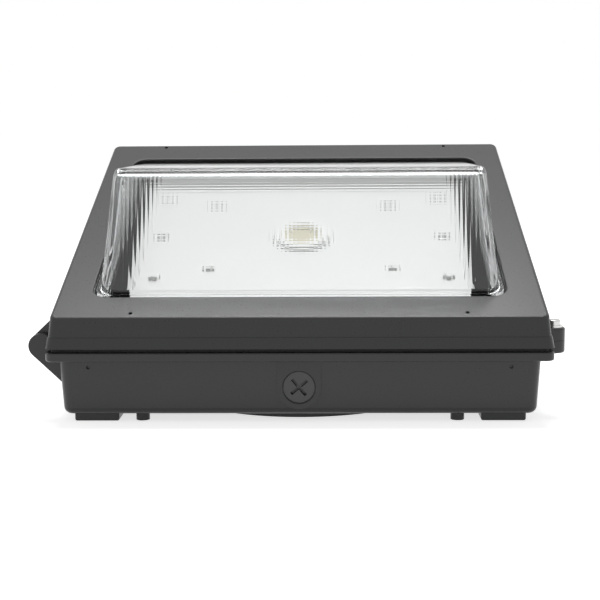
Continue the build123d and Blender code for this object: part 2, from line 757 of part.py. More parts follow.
# ---- light engine ----
def make_tray():
    """The white reflector tray, folded up at its rim and open round the light source."""
    middle = on_face(0, face_mid_v, tray_low)
    outline = RectangleRounded(tray_width, tray_length, tray_corner)
    plate = extrude(middle * outline, tray_thickness)
    rim = extrude(middle * outline, tray_thickness + tray_rim)
    inner_width = tray_width - 2 * tray_thickness
    inner_length = tray_length - 2 * tray_thickness
    inner = RectangleRounded(inner_width, inner_length, tray_corner - tray_thickness)
    rim -= extrude(middle * inner, 2 * (tray_thickness + tray_rim))
    tray = plate + rim
    tray -= extrude(middle * Circle(tray_opening_radius), 2 * tray_thickness)
    hole_radius = m4_radius + m4_through_clearance
    for x, v in tray_screw_places() + heat_sink_screw_places():
        tray -= extrude(on_face(x, v, tray_low) * Circle(hole_radius), 2 * tray_thickness)
    return tray


def tray_screw_places():
    """Screws through the tray into the brackets' upper flanges, as (x, v)."""
    x = bracket_spacing / 2 - bracket_flange / 2
    v = tray_length / 2 - tray_screw_inset
    return [(sx * x, face_mid_v + sv * v) for sx in (-1, 1) for sv in (-1, 0, 1)]


def heat_sink_screw_places():
    """Screws through the tray into the heat sink, near its corners."""
    x = heat_sink_width / 2 - sink_screw_inset_x
    v = heat_sink_length / 2 - sink_screw_inset_v
    return [(sx * x, face_mid_v + sv * v) for sx in (-1, 1) for sv in (-1, 1)]


def lead_hole_places():
    """Where the two LED leads come up through the heat sink, between its fins."""
    x = (cob_size / 2 + holder_radius) / 2
    return [(-x, face_mid_v), (x, face_mid_v)]


def make_heat_sink():
    """An extruded heat sink, its fins running up the slope under the tray."""
    base_plane = on_face(0, face_mid_v, tray_low)
    sink = extrude(base_plane * Rectangle(heat_sink_width, heat_sink_length), -heat_sink_base)
    count = int((heat_sink_width - fin_thickness) / fin_pitch / 2)
    fin_profile = Sketch()
    for index in range(-count, count + 1):
        fin_profile += Pos(index * fin_pitch, 0) * Rectangle(fin_thickness, heat_sink_length)
    fins_plane = on_face(0, face_mid_v, heat_sink_low)
    sink += extrude(fins_plane * fin_profile, -fin_height)
    for x, v in lead_hole_places():
        sink -= extrude(on_face(x, v, heat_sink_low) * Circle(lead_hole_radius), heat_sink_base)
    for x, v in heat_sink_screw_places():
        grip = heat_sink_base - sink_screw_floor
        sink -= extrude(on_face(x, v, tray_low) * Circle(m4_radius + m4_hole_clearance), -grip)
    return sink


def make_thermal_pad():
    """The thin pad between the light source and the heat sink."""
    return extrude(on_face(0, face_mid_v, tray_low) * Rectangle(cob_size, cob_size), thermal_pad_thickness)


def make_cob_board():
    """The ceramic board of the chip-on-board light source."""
    low_w = tray_low + thermal_pad_thickness
    return extrude(on_face(0, face_mid_v, low_w) * Rectangle(cob_size, cob_size), cob_thickness)


def make_cob_emitter():
    """The round phosphor dome in the middle of the board."""
    low_w = tray_low + thermal_pad_thickness + cob_thickness
    dome = extrude(on_face(0, face_mid_v, low_w) * Circle(cob_emitter_radius), cob_emitter_height)
    top = [edge for edge in dome.edges() if on_plane(edge, low_w + cob_emitter_height)]
    return fillet(top, cob_emitter_height * 0.7)


def make_cob_holder():
    """The moulded holder that clamps the board and carries the lead contacts."""
    seat = on_face(0, face_mid_v, tray_low)
    body = extrude(seat * Circle(holder_radius), holder_height)
    top = [edge for edge in body.edges() if on_plane(edge, tray_low + holder_height)]
    body = chamfer(top, holder_rounding)
    pocket_size = cob_size + 2 * holder_clearance
    pocket_height = thermal_pad_thickness + cob_thickness
    body -= extrude(seat * Rectangle(pocket_size, pocket_size), pocket_height)
    window = extrude(seat * Circle(holder_window_radius), holder_height)
    return body - window


# ---- brackets ----
def bracket_boss_places():
    """The floor bosses of the two brackets."""
    x = bracket_spacing / 2 + bracket_thickness + bracket_flange / 2
    return [(sx * x, bracket_mid_y + sy * bracket_boss_spacing / 2) for sx in (-1, 1) for sy in (-1, 1)]


def make_bracket(side):
    """A folded bracket: a foot flange, a web with a window, and a flange under the tray."""
    inner_x = side * bracket_spacing / 2
    low_v = face_mid_v - bracket_length / slope_cos / 2
    high_v = face_mid_v + bracket_length / slope_cos / 2
    low_point = face_point(0, low_v, tray_low)
    high_point = face_point(0, high_v, tray_low)
    outline = [
        (low_point[1], bracket_foot_z),
        (high_point[1], bracket_foot_z),
        (high_point[1], high_point[2]),
        (low_point[1], low_point[2]),
    ]
    web_plane = Plane(origin=(inner_x, 0, 0), x_dir=(0, 1, 0), z_dir=(1, 0, 0))
    web = extrude(web_plane * make_face(Polyline(*outline, close=True)), side * bracket_thickness)
    m = bracket_window_margin
    slope_drop = m / slope_cos
    window = [
        (low_point[1] + m, bracket_foot_z + m),
        (high_point[1] - m, bracket_foot_z + m),
        (high_point[1] - m, high_point[2] - slope_drop - m * slope_tan),
        (low_point[1] + m, low_point[2] - slope_drop + m * slope_tan),
    ]
    window_face = make_face(Polyline(*window, close=True))
    web -= extrude(web_plane * window_face, side * 2 * bracket_thickness, both=True)
    foot_x = inner_x + side * (bracket_thickness + bracket_flange) / 2
    foot_z = bracket_foot_z + bracket_thickness / 2
    foot = Pos(foot_x, bracket_mid_y, foot_z) * Box(
        bracket_thickness + bracket_flange, high_point[1] - low_point[1], bracket_thickness
    )
    upper_middle = on_face(inner_x - side * (bracket_flange - bracket_thickness) / 2, face_mid_v, tray_low)
    upper_outline = Rectangle(bracket_flange + bracket_thickness, high_v - low_v)
    upper = extrude(upper_middle * upper_outline, -bracket_thickness)
    bracket = web + foot + upper
    hole_radius = m4_radius + m4_through_clearance
    for x, y in bracket_boss_places():
        bracket -= cylinder_up(hole_radius, bracket_foot_z, bracket_foot_z + bracket_thickness, x, y)
    tap_radius = m4_radius + m4_hole_clearance
    for x, v in tray_screw_places():
        bracket -= extrude(on_face(x, v, tray_low) * Circle(tap_radius), -bracket_thickness)
    return bracket


def make_bracket_screws():
    """The four screws that hold the brackets on their floor bosses."""
    screws = Part()
    for x, y in bracket_boss_places():
        seat_z = bracket_foot_z + bracket_thickness
        screws += Pos(x, y, seat_z) * machine_screw(bracket_thickness + m4_boss_grip)
    return screws


def screws_on_tray(places, shank_length):
    """Screws driven into the tray from its white side."""
    screws = Part()
    for x, v in places:
        screws += on_face(x, v, -tray_depth) * machine_screw(shank_length)
    return screws


# ---- driver ----
def make_driver_case():
    """The potted LED driver's extruded aluminium case."""
    middle_z = driver_low_z + driver_height / 2
    case = Pos(0, driver_y, middle_z) * Box(driver_length, driver_width, driver_height)
    return fillet(case.edges().filter_by(Axis.X), driver_rounding)


def make_driver_cap(side):
    """A moulded end cap with the tab that holds the driver down."""
    x = side * (driver_length + driver_cap_thickness) / 2
    cap = Pos(x, driver_y, driver_low_z + driver_height / 2) * Box(
        driver_cap_thickness, driver_width, driver_height
    )
    cap = fillet(cap.edges().filter_by(Axis.X), driver_rounding)
    tab_z = driver_low_z + driver_tab_thickness / 2
    tab_blank = Box(driver_tab_length, driver_tab_width, driver_tab_thickness)
    tab = Pos(side * driver_tab_x, driver_y, tab_z) * tab_blank
    hole_top = driver_low_z + driver_tab_thickness
    hole_radius = m4_radius + m4_through_clearance
    hole = cylinder_up(hole_radius, driver_low_z, hole_top, side * driver_tab_x, driver_y)
    return cap + tab - hole


def make_driver_screws():
    """The two screws through the driver's tabs."""
    screws = Part()
    for side in (-1, 1):
        seat_z = driver_low_z + driver_tab_thickness
        screw = machine_screw(driver_tab_thickness + m4_boss_grip)
        screws += Pos(side * driver_tab_x, driver_y, seat_z) * screw
    return screws


# ---- wiring ----
def terminal_places():
    """The three poles of the terminal block, as X positions."""
    return [terminal_x + step * terminal_pitch for step in (-1, 0, 1)]


def make_terminal_block():
    """A three pole moulded terminal block with its screw wells and wire ports."""
    top_z = floor_z + terminal_height
    middle_z = floor_z + terminal_height / 2
    block = Pos(terminal_x, terminal_y, middle_z) * Box(terminal_length, terminal_width, terminal_height)
    block = chamfer(block.edges().group_by(Axis.Z)[-1], terminal_slot_width)
    for x in terminal_places():
        block -= cylinder_up(terminal_well_radius, top_z - terminal_well_depth, top_z, x, terminal_y)
        port = Plane(origin=(x, terminal_y, floor_z + terminal_port_height), x_dir=(1, 0, 0), z_dir=(0, 1, 0))
        bore = Circle(terminal_port_radius)
        block -= extrude(port.offset(terminal_width / 2) * bore, -terminal_port_depth)
        block -= extrude(port.offset(-terminal_width / 2) * bore, terminal_port_depth)
    return block


def make_terminal_screws():
    """The three clamping screws in the terminal block's wells."""
    screws = Part()
    low_z = floor_z + terminal_height - terminal_well_depth
    top_z = low_z + terminal_screw_height
    for x in terminal_places():
        screw = cylinder_up(terminal_screw_radius, low_z, top_z, x, terminal_y)
        slot = Box(3 * terminal_screw_radius, terminal_slot_width, terminal_screw_height)
        screws += screw - Pos(x, terminal_y, top_z) * slot
    return screws


def make_ground_screw():
    """The hex head earth screw on its floor boss."""
    seat_z = floor_z + ground_boss_height
    hexagon = RegularPolygon(ground_hex_across / 2, 6, major_radius=False, rotation=30)
    head = extrude(Pos(ground_x, ground_y, seat_z) * hexagon, ground_head_height)
    return head + cylinder_up(m4_radius, seat_z - m4_boss_grip, seat_z, ground_x, ground_y)


def lead(points):
    """A round insulated lead along straight runs joined by arcs as large as the runs allow."""
    corners = [Vector(*point) for point in points]
    radii = []
    for before, corner, after in zip(corners, corners[1:], corners[2:]):
        run_in = corner - before
        run_out = after - corner
        half_turn = radians(run_in.get_angle(run_out)) / 2
        radii.append(0.45 * min(run_in.length, run_out.length) / tan(half_turn))
    path = FilletPolyline(*corners, radius=radii)
    start = Plane(origin=corners[0], z_dir=corners[1] - corners[0])
    return sweep(start * Circle(lead_radius), path=path)


def supply_lead(index):
    """A lead from one pole of the terminal block to the driver's left end cap."""
    x0 = terminal_places()[index]
    start_y = terminal_y + terminal_width / 2 - lead_grip
    z0 = floor_z + terminal_port_height
    cap_x = -driver_length / 2 - driver_cap_thickness
    lane_x = cap_x - lead_lane + index * lead_pitch
    end_y = driver_y + (1 - index) * 2 * lead_pitch
    end_z = driver_low_z + driver_height / 2
    return [
        (x0, start_y, z0),
        (x0, start_y + lead_corner + index * lead_pitch, z0),
        (lane_x, start_y + 2 * lead_corner + index * lead_pitch, z0 + lead_rise / 3),
        (lane_x + lead_rise / 3, (start_y + driver_y) / 2, z0 + lead_rise),
        (lane_x, driver_y - driver_width / 2 - 2 * lead_rise, end_z - lead_rise),
        (lane_x, end_y, end_z),
        (cap_x, end_y, end_z),
    ]


def led_lead(index):
    """A lead from the driver's right end cap, up between the fins, to the holder's underside."""
    hole_x, hole_v = lead_hole_places()[index]
    cap_x = driver_length / 2 + driver_cap_thickness
    y0 = driver_y + (1 - index) * 2 * lead_pitch
    z0 = driver_low_z + driver_height * 0.75
    high_v = face_mid_v + heat_sink_length / 2
    fin_w = heat_sink_low - fin_height / 2
    lane_x = cap_x + lead_lane - index * lead_pitch
    return [
        (cap_x, y0, z0),
        (lane_x, y0, z0),
        (lane_x, y0 + led_lead_rise / 2, z0 + led_lead_rise),
        face_point(hole_x + led_lead_reach, high_v + led_lead_reach, fin_w - 2 * lead_rise),
        face_point(hole_x, high_v + lead_corner, fin_w),
        face_point(hole_x, hole_v + 8 * lead_rise, fin_w + lead_rise / 3),
        face_point(hole_x, hole_v, fin_w + lead_rise),
        face_point(hole_x, hole_v, tray_low),
    ]


def ground_lead():
    """The lead from the terminal block's earth pole to the earth screw."""
    x0 = terminal_places()[0]
    start_y = terminal_y - terminal_width / 2 + lead_grip
    z0 = floor_z + terminal_port_height
    end_x = ground_x + ground_hex_across / 2
    head_z = floor_z + ground_boss_height + ground_head_height / 2
    return [
        (x0, start_y, z0),
        (x0, start_y - 4 * lead_rise, z0),
        (x0 - 4 * lead_rise, start_y - 3.7 * lead_rise, z0),
        (end_x + 2.7 * lead_rise, ground_y, head_z),
        (end_x, ground_y, head_z),
    ]


# ---- every piece, under its own name ----
def make_pieces():
    """All the pieces of the fixture, by name."""
    pieces = {
        "rear_housing": make_rear_housing(),
        "housing_gasket": make_housing_gasket(),
        "door_frame": make_door_frame(),
        "glass_refractor": make_refractor(),
        "lens_gasket": make_lens_gasket(),
        "lens_clip_screws": screws_under_face(
            clip_places(), lens_flange_low - clip_thickness, clip_thickness + clip_screw_depth
        ),
        "reflector_tray": make_tray(),
        "tray_screws": screws_on_tray(tray_screw_places(), tray_thickness + bracket_thickness),
        "heat_sink": make_heat_sink(),
        "heat_sink_screws": screws_on_tray(
            heat_sink_screw_places(), tray_thickness + heat_sink_base - 1.5 * sink_screw_floor
        ),
        "thermal_pad": make_thermal_pad(),
        "cob_board": make_cob_board(),
        "cob_emitter": make_cob_emitter(),
        "cob_holder": make_cob_holder(),
        "bracket_screws": make_bracket_screws(),
        "driver_case": make_driver_case(),
        "driver_screws": make_driver_screws(),
        "terminal_block": make_terminal_block(),
        "terminal_screws": make_terminal_screws(),
        "ground_screw": make_ground_screw(),
        "ground_lead": lead(ground_lead()),
    }
    for number, (place, turn) in enumerate(zip(clip_places(), clip_turns()), start=1):
        pieces[f"lens_clip_{number}"] = make_lens_clip(place, turn)
    for name, frame in entry_frames().items():
        pieces[f"plug_{name}"] = make_plug(frame)
    for side, name in ((-1, "near"), (1, "far")):
        pieces[f"hinge_screw_{name}"] = make_hinge_screw(side)
        pieces[f"closure_screw_{name}"] = make_closure_screw(side * lug_y)
        pieces[f"closure_washer_{name}"] = make_closure_washer(side * lug_y)
        pieces[f"screw_retainer_{name}"] = make_retainer(side * lug_y)
    for side, name in ((-1, "left"), (1, "right")):
        pieces[f"bracket_{name}"] = make_bracket(side)
        pieces[f"driver_cap_{name}"] = make_driver_cap(side)
    for index, name in enumerate(("supply_lead_line", "supply_lead_neutral", "supply_lead_earth")):
        pieces[name] = lead(supply_lead(index))
    for index, name in enumerate(("led_lead_negative", "led_lead_positive")):
        pieces[name] = lead(led_lead(index))
    return pieces


os.makedirs("parts", exist_ok=True)
for piece_name, piece in make_pieces().items():
    piece.label = piece_name
    export_step(piece, f"parts/{piece_name}.step")
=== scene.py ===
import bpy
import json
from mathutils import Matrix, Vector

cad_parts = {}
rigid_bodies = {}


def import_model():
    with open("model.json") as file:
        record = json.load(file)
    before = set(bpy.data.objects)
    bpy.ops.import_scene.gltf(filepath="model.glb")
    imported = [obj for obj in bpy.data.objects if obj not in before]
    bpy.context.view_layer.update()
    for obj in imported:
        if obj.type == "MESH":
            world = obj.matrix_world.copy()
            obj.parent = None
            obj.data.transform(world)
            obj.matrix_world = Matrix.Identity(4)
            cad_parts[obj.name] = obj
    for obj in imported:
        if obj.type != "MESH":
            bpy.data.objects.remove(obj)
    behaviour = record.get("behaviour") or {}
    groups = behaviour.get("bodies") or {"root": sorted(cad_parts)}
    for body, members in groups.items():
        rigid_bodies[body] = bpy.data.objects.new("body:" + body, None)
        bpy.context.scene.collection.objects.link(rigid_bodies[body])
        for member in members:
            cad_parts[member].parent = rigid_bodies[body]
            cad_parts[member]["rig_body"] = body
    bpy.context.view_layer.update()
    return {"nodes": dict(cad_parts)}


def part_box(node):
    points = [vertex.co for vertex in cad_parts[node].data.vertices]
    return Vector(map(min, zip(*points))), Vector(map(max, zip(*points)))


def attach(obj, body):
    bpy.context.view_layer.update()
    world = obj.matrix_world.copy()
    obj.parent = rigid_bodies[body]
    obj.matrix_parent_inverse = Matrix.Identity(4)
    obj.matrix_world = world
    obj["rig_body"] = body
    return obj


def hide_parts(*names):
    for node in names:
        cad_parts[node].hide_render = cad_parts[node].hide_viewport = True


bl_info = {
    "name": "Wall Pack Light",
    "version": (1, 0, 0),
    "blender": (4, 5, 0),
    "location": "View3D > Sidebar > Wall Pack",
    "description": "Finishes for an outdoor wall pack light: castings, glass, screws, lamp and wiring",
    "category": "Add Mesh",
}

import json
import math

import bmesh
import bpy
import numpy as np
from bpy.props import FloatProperty, FloatVectorProperty, PointerProperty
from bpy.types import Operator, Panel, PropertyGroup
from mathutils import Matrix, Vector

# Blender's default objects go before the fixture's solids come in.
for leftover in list(bpy.data.objects):
    bpy.data.objects.remove(leftover)
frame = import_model()

MM = 0.001

# ---- the sloping door face, in metres ----
# x runs across, v up the slope from the middle of the opening, and w out of the face.
FACE_SLOPE = math.radians(26.5)
GASKET_MIDDLE_DEPTH = 4.25 * MM
FACE_NORMAL = Vector((0.0, -math.sin(FACE_SLOPE), math.cos(FACE_SLOPE)))
FACE_UP = Vector((0.0, math.cos(FACE_SLOPE), math.sin(FACE_SLOPE)))
gasket_low, gasket_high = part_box("lens_gasket")
FACE_CENTRE = (gasket_low + gasket_high) / 2 + GASKET_MIDDLE_DEPTH * FACE_NORMAL

# ---- the glass, in metres and radians ----
GLASS_FORM = {
    # The dome's outline: half its width at the near edge, half its length up the slope, its corners'
    # radius, and the angle by which each side leans to the middle up the slope.
    "half_width": 134.95 * MM,
    "half_length": 94.7 * MM,
    "corner": 9.0 * MM,
    "taper": math.radians(1.85),
    # The walls lean in by the draft, counted from a height.
    "draft": math.radians(5.3),
    "lean_from": -3.5 * MM,
    # The near and far planes meet at the ridge, which is rounded. Their angles are rise over run.
    "ridge_v": -38.2 * MM,
    "ridge_w": 66.2 * MM,
    "near_angle": math.atan(64.5 / 56.5),
    "far_angle": math.atan(68.8 / 132.9),
    "ridge_rounding": 9.0 * MM,
    # The radius of the rim between walls and crown, outside and inside.
    "rounding": 4.0 * MM,
    "inner_rounding": 1.6 * MM,
    # The base stands out from the dome at the sides, and the flange from the base all round.
    "shoulder": 3.4 * MM,
    "base_fillet": 2.4 * MM,
    "base_rounding": 0.8 * MM,
    "flange_low": -9.0 * MM,
    "flange_top": -5.0 * MM,
    "flange_reach": 7.6 * MM,
    "flange_chamfer": 0.5 * MM,
    # The flutes end this far to the left and right of the middle.
    "flute_reach": 123.0 * MM,
}
# The share that the rim's radius loses at the near edge.
NEAR_RIM_TIGHTENING = 0.65
# How many times as deep the ribs of the far plane are.
FAR_RIB_DEPTH_SHARE = 3

# ---- how finely the new pieces are meshed ----
# Points on each corner of the glass's outline, and steps up its wall, over its rim and up its fillet.
CORNER_POINTS = 8
WALL_STEPS = 4
RIM_STEPS = 6
FILLET_STEPS = 4
# A row's place on the base's side, and the middle of the base's rounding, about 1 - cos 45 degrees.
BASE_ROW_SHARE = 0.3
ROUND_MIDDLE_SHARE = 0.3
# Rings between the rim and the crown's grid, as shares of the way to the corner centres.
CROWN_SHARES = (0.5, 0.94)
# Rounds that find where wall and crown meet, and samples that measure the way over the crown.
EDGE_ROUNDS = 30
LENGTH_SAMPLES = 4000
# Rows and columns of the crown, outside and inside. The inner rows are closer round the ridge.
ROWS_PER_RIB = 4
OUTER_COLUMNS = 17
COLUMNS_PER_FLUTE = 6
BEND_REACH = 12.0 * MM
BEND_ROWS = 21
INNER_NEAR_ROWS = 9
INNER_FAR_ROWS = 12
# Points on the half circle at a fold's nose.
FOLD_NOSE_POINTS = 9
MERGE_WITHIN = 0.0001 * MM

# ---- the reflector's folded edges ----
# The far wall and the near apron have (v, w) pairs, and the wing at the right has (x, w) pairs.
FOLD_THICKNESS = 1.2 * MM
TRAY_HALF_WIDTH = 117.0 * MM
FAR_WALL_ROOT = (75.5 * MM, -9.9 * MM)
FAR_WALL_NOSE = (81.8 * MM, -3.8 * MM)
NEAR_APRON_ROOT = (-75.5 * MM, -10.1 * MM)
NEAR_APRON_NOSE = (-88.0 * MM, -10.6 * MM)
WING_HALF_RUN = 74.0 * MM
WING_ROOT = (TRAY_HALF_WIDTH, -10.1 * MM)
WING_NOSE = (120.0 * MM, -10.3 * MM)

# ---- the stage, in metres, and the floor's own glow where it is seen ----
FLOOR_HALF = 12.0
FLOOR_GLOW = 0.7
SOFTBOX_PLACE = (-0.04, 0.27, 1.39)
SOFTBOX_SIZE = (0.9, 0.5)
SOFTBOX_AIM = Vector((0.0, 0.0, 0.08))

# ---- the photograph's camera, fitted to the fixture's corners ----
PHOTO_PIXELS = 600
FOCAL_PIXELS = 1324.19
SENSOR_MM = 36.0
CAMERA_PLACE = Vector((23.63, -972.18, 204.65)) * MM
CAMERA_DOWN = math.radians(8.03)
CAMERA_YAW = math.radians(-1.50)
CAMERA_ROLL = math.radians(-0.39)

# ---- shader values ----
# Most of a noise lies in this span. A Map Range node spreads it over a finish's own range.
NOISE_SPAN = {"From Min": 0.3, "From Max": 0.7}
# A Mix node's colour sockets by number, because its other kinds of socket have the same names.
MIX_FIRST, MIX_SECOND, MIX_RESULT = 6, 7, 2


# ---- colour and node helpers ----
def linear(hex_colour):
    """An sRGB hex colour as linear red, green and blue."""
    channels = np.array([int(hex_colour[i : i + 2], 16) for i in (1, 3, 5)]) / 255
    low = channels / 12.92
    high = ((channels + 0.055) / 1.055) ** 2.4
    return tuple(float(c) for c in np.where(channels <= 0.04045, low, high))


def add_node(tree, kind, settings=None, links=None):
    """A node of one kind, set by attribute or by an input's name or number, and linked by input."""
    node = tree.nodes.new(kind)
    for key, value in (settings or {}).items():
        if isinstance(key, str) and hasattr(node, key):
            setattr(node, key, value)
        else:
            node.inputs[key].default_value = value
    for key, source in (links or {}).items():
        tree.links.new(source, node.inputs[key])
    return node


def new_material(name):
    """An empty node material and its tree."""
    material = bpy.data.materials.new(name)
    material.use_nodes = True
    material.node_tree.nodes.clear()
    return material, material.node_tree


def grain(tree, size_mm, detail=2.0, stretch=(1.0, 1.0, 1.0)):
    """A noise whose lumps are about size_mm across, stretched along an axis where a share is under 1."""
    place = add_node(tree, "ShaderNodeTexCoord").outputs["Object"]
    mapping = add_node(tree, "ShaderNodeMapping", {"Scale": stretch}, {"Vector": place})
    settings = {"Scale": 1.0 / (size_mm * MM), "Detail": detail}
    return add_node(tree, "ShaderNodeTexNoise", settings, {"Vector": mapping.outputs[0]}).outputs["Fac"]


def surface_material(
    name, colours, roughness, lump_mm, bump_mm, metallic=0.0, shade_mm=40.0, stretch=(1, 1, 1), sockets=None
):
    """A Principled material: two close colours in broad patches, a roughness range and a fine bump.

    shade_mm is the size of the patches, lump_mm that of the lumps, which carry both the roughness and
    the bump, and bump_mm their height. sockets sets more of the shader's own.
    """
    material, tree = new_material(name)
    patches = grain(tree, shade_mm, stretch=stretch)
    shade = add_node(tree, "ShaderNodeMapRange", NOISE_SPAN, {"Value": patches})
    lumps = grain(tree, lump_mm, 3.0, stretch)
    settings = {**NOISE_SPAN, "To Min": roughness[0], "To Max": roughness[1]}
    rough = add_node(tree, "ShaderNodeMapRange", settings, {"Value": lumps})
    settings = {"Strength": 1.0, "Distance": bump_mm * MM}
    bump = add_node(tree, "ShaderNodeBump", settings, {"Height": lumps})
    settings = {"data_type": "RGBA", MIX_FIRST: (*colours[0], 1.0), MIX_SECOND: (*colours[1], 1.0)}
    colour = add_node(tree, "ShaderNodeMix", settings, {0: shade.outputs[0]})
    settings = {"Metallic": metallic, **(sockets or {})}
    links = {
        "Base Color": colour.outputs[MIX_RESULT],
        "Roughness": rough.outputs[0],
        "Normal": bump.outputs[0],
    }
    shader = add_node(tree, "ShaderNodeBsdfPrincipled", settings, links)
    add_node(tree, "ShaderNodeOutputMaterial", links={"Surface": shader.outputs[0]})
    return material


# ---- materials, each named for the real one ----
def powder_coated_aluminium():
    """Polyester powder coat on die-cast aluminium: neutral dark grey, satin, with a fine orange peel."""
    body = tuple(bpy.context.scene.wall_pack.finishes.casting_colour)
    lift = 1.08
    lighter = tuple(min(1.0, c * lift) for c in body)
    return surface_material(
        "powder_coated_aluminium",
        (body, lighter),
        roughness=(0.27, 0.33),
        lump_mm=0.9,
        bump_mm=0.012,
        sockets={"Specular IOR Level": 0.42, "IOR": 1.5},
    )


def powder_coated_zinc():
    """Powder coat on a die-cast zinc plug: a little lighter than the castings, with a finer peel."""
    colours = (linear("#3c3c3d"), linear("#434344"))
    return surface_material("powder_coated_zinc", colours, roughness=(0.28, 0.36), lump_mm=0.7, bump_mm=0.008)


def silicone_rubber():
    """Extruded black silicone: matt, faintly dusty."""
    colours = (linear("#151515"), linear("#1c1c1c"))
    return surface_material("silicone_rubber", colours, roughness=(0.6, 0.75), lump_mm=0.5, bump_mm=0.01)


def pressed_glass():
    """Clear pressed borosilicate glass: fire-polished, with dimpled side walls that a mould leaves.

    The dimples come in as the surface turns to face sideways. Light from the lamps and from dull
    surfaces passes the glass unbent, so that it reaches what is behind.
    """
    dimple_mm = 2.2
    dimple_depth = 1.0 * MM
    facing_sideways = {"From Min": 0.6, "From Max": 0.9}
    material, tree = new_material("pressed_borosilicate_glass")
    heading = add_node(tree, "ShaderNodeTexCoord").outputs["Normal"]
    across = add_node(tree, "ShaderNodeSeparateXYZ", links={"Vector": heading}).outputs["X"]
    sideways = add_node(tree, "ShaderNodeMath", {"operation": "ABSOLUTE"}, {0: across})
    sides = add_node(tree, "ShaderNodeMapRange", facing_sideways, {"Value": sideways.outputs[0]})
    links = {0: sides.outputs[0], 1: grain(tree, dimple_mm, 1.0)}
    height = add_node(tree, "ShaderNodeMath", {"operation": "MULTIPLY"}, links)
    settings = {"Strength": 1.0, "Distance": dimple_depth}
    bump = add_node(tree, "ShaderNodeBump", settings, {"Height": height.outputs[0]})
    settings = {
        "Base Color": (*linear("#f8fafa"), 1.0),
        "Roughness": 0.02,
        "IOR": 1.47,
        "Transmission Weight": 1.0,
    }
    glass = add_node(tree, "ShaderNodeBsdfPrincipled", settings, {"Normal": bump.outputs[0]})
    clear = add_node(tree, "ShaderNodeBsdfTransparent", {"Color": (0.93, 0.93, 0.93, 1.0)})
    rays = add_node(tree, "ShaderNodeLightPath")
    links = {0: rays.outputs["Is Shadow Ray"], 1: rays.outputs["Is Diffuse Ray"]}
    lit = add_node(tree, "ShaderNodeMath", {"operation": "MAXIMUM"}, links)
    links = {0: lit.outputs[0], 1: glass.outputs[0], 2: clear.outputs[0]}
    mix = add_node(tree, "ShaderNodeMixShader", links=links)
    add_node(tree, "ShaderNodeOutputMaterial", links={"Surface": mix.outputs[0]})
    return material


def stainless_steel():
    """Turned stainless steel: bright, with fine machining marks."""
    colours = (linear("#c9c9c7"), linear("#d6d6d4"))
    return surface_material(
        "stainless_steel",
        colours,
        roughness=(0.22, 0.34),
        lump_mm=0.4,
        bump_mm=0.004,
        metallic=1.0,
        shade_mm=6.0,
    )


def zinc_plated_steel():
    """Bright zinc on rolled spring steel: pale, slightly blue, faintly uneven."""
    colours = (linear("#b9bcc0"), linear("#c8cacd"))
    return surface_material(
        "zinc_plated_spring_steel",
        colours,
        roughness=(0.3, 0.45),
        lump_mm=0.6,
        bump_mm=0.004,
        metallic=1.0,
        shade_mm=8.0,
    )


def galvanised_sheet():
    """Galvanised sheet steel: dull grey spangles, each with its own shade and gloss."""
    spangle_mm = 6.0
    material, tree = new_material("galvanised_sheet_steel")
    place = add_node(tree, "ShaderNodeTexCoord").outputs["Object"]
    settings = {"Scale": 1.0 / (spangle_mm * MM)}
    cells = add_node(tree, "ShaderNodeTexVoronoi", settings, {"Vector": place})
    level = add_node(tree, "ShaderNodeSeparateColor", links={"Color": cells.outputs["Color"]})
    settings = {
        "data_type": "RGBA",
        MIX_FIRST: (*linear("#9b9fa3"), 1.0),
        MIX_SECOND: (*linear("#b7babc"), 1.0),
    }
    colour = add_node(tree, "ShaderNodeMix", settings, {0: level.outputs[0]})
    settings = {**NOISE_SPAN, "To Min": 0.34, "To Max": 0.48}
    rough = add_node(tree, "ShaderNodeMapRange", settings, {"Value": level.outputs[1]})
    links = {"Base Color": colour.outputs[MIX_RESULT], "Roughness": rough.outputs[0]}
    shader = add_node(tree, "ShaderNodeBsdfPrincipled", {"Metallic": 1.0}, links)
    add_node(tree, "ShaderNodeOutputMaterial", links={"Surface": shader.outputs[0]})
    return material


def natural_nylon():
    """Natural moulded nylon: milky, waxy."""
    return surface_material(
        "natural_nylon",
        (linear("#d9d6c8"), linear("#e1dfd3")),
        roughness=(0.42, 0.52),
        lump_mm=0.8,
        bump_mm=0.004,
        shade_mm=4.0,
    )


def baked_enamel():
    """White baked enamel on sheet metal: bright, even, half gloss."""
    white = tuple(bpy.context.scene.wall_pack.finishes.reflector_colour)
    dip = 0.985
    shade = tuple(c * dip for c in white)
    return surface_material(
        "white_baked_enamel", (shade, white), roughness=(0.3, 0.36), lump_mm=1.2, bump_mm=0.004
    )


def extruded_aluminium():
    """Mill finish aluminium extrusion: soft grey metal with fine die lines along the fins."""
    return surface_material(
        "mill_finish_aluminium",
        (linear("#a9abae"), linear("#b8babc")),
        roughness=(0.3, 0.46),
        lump_mm=0.35,
        bump_mm=0.005,
        metallic=1.0,
        shade_mm=5.0,
        stretch=(1.0, 0.04, 0.04),
    )


def silicone_pad():
    """Grey thermal silicone: dull, slightly mottled with its filler."""
    return surface_material(
        "thermal_silicone",
        (linear("#8b8c90"), linear("#9a9b9e")),
        roughness=(0.6, 0.7),
        lump_mm=0.3,
        bump_mm=0.01,
        shade_mm=1.5,
    )


def white_ceramic():
    """Alumina ceramic board: warm white, fine-grained, half matt."""
    return surface_material(
        "alumina_ceramic",
        (linear("#e4e3dc"), linear("#ecebe6")),
        roughness=(0.35, 0.45),
        lump_mm=0.25,
        bump_mm=0.003,
        shade_mm=3.0,
    )


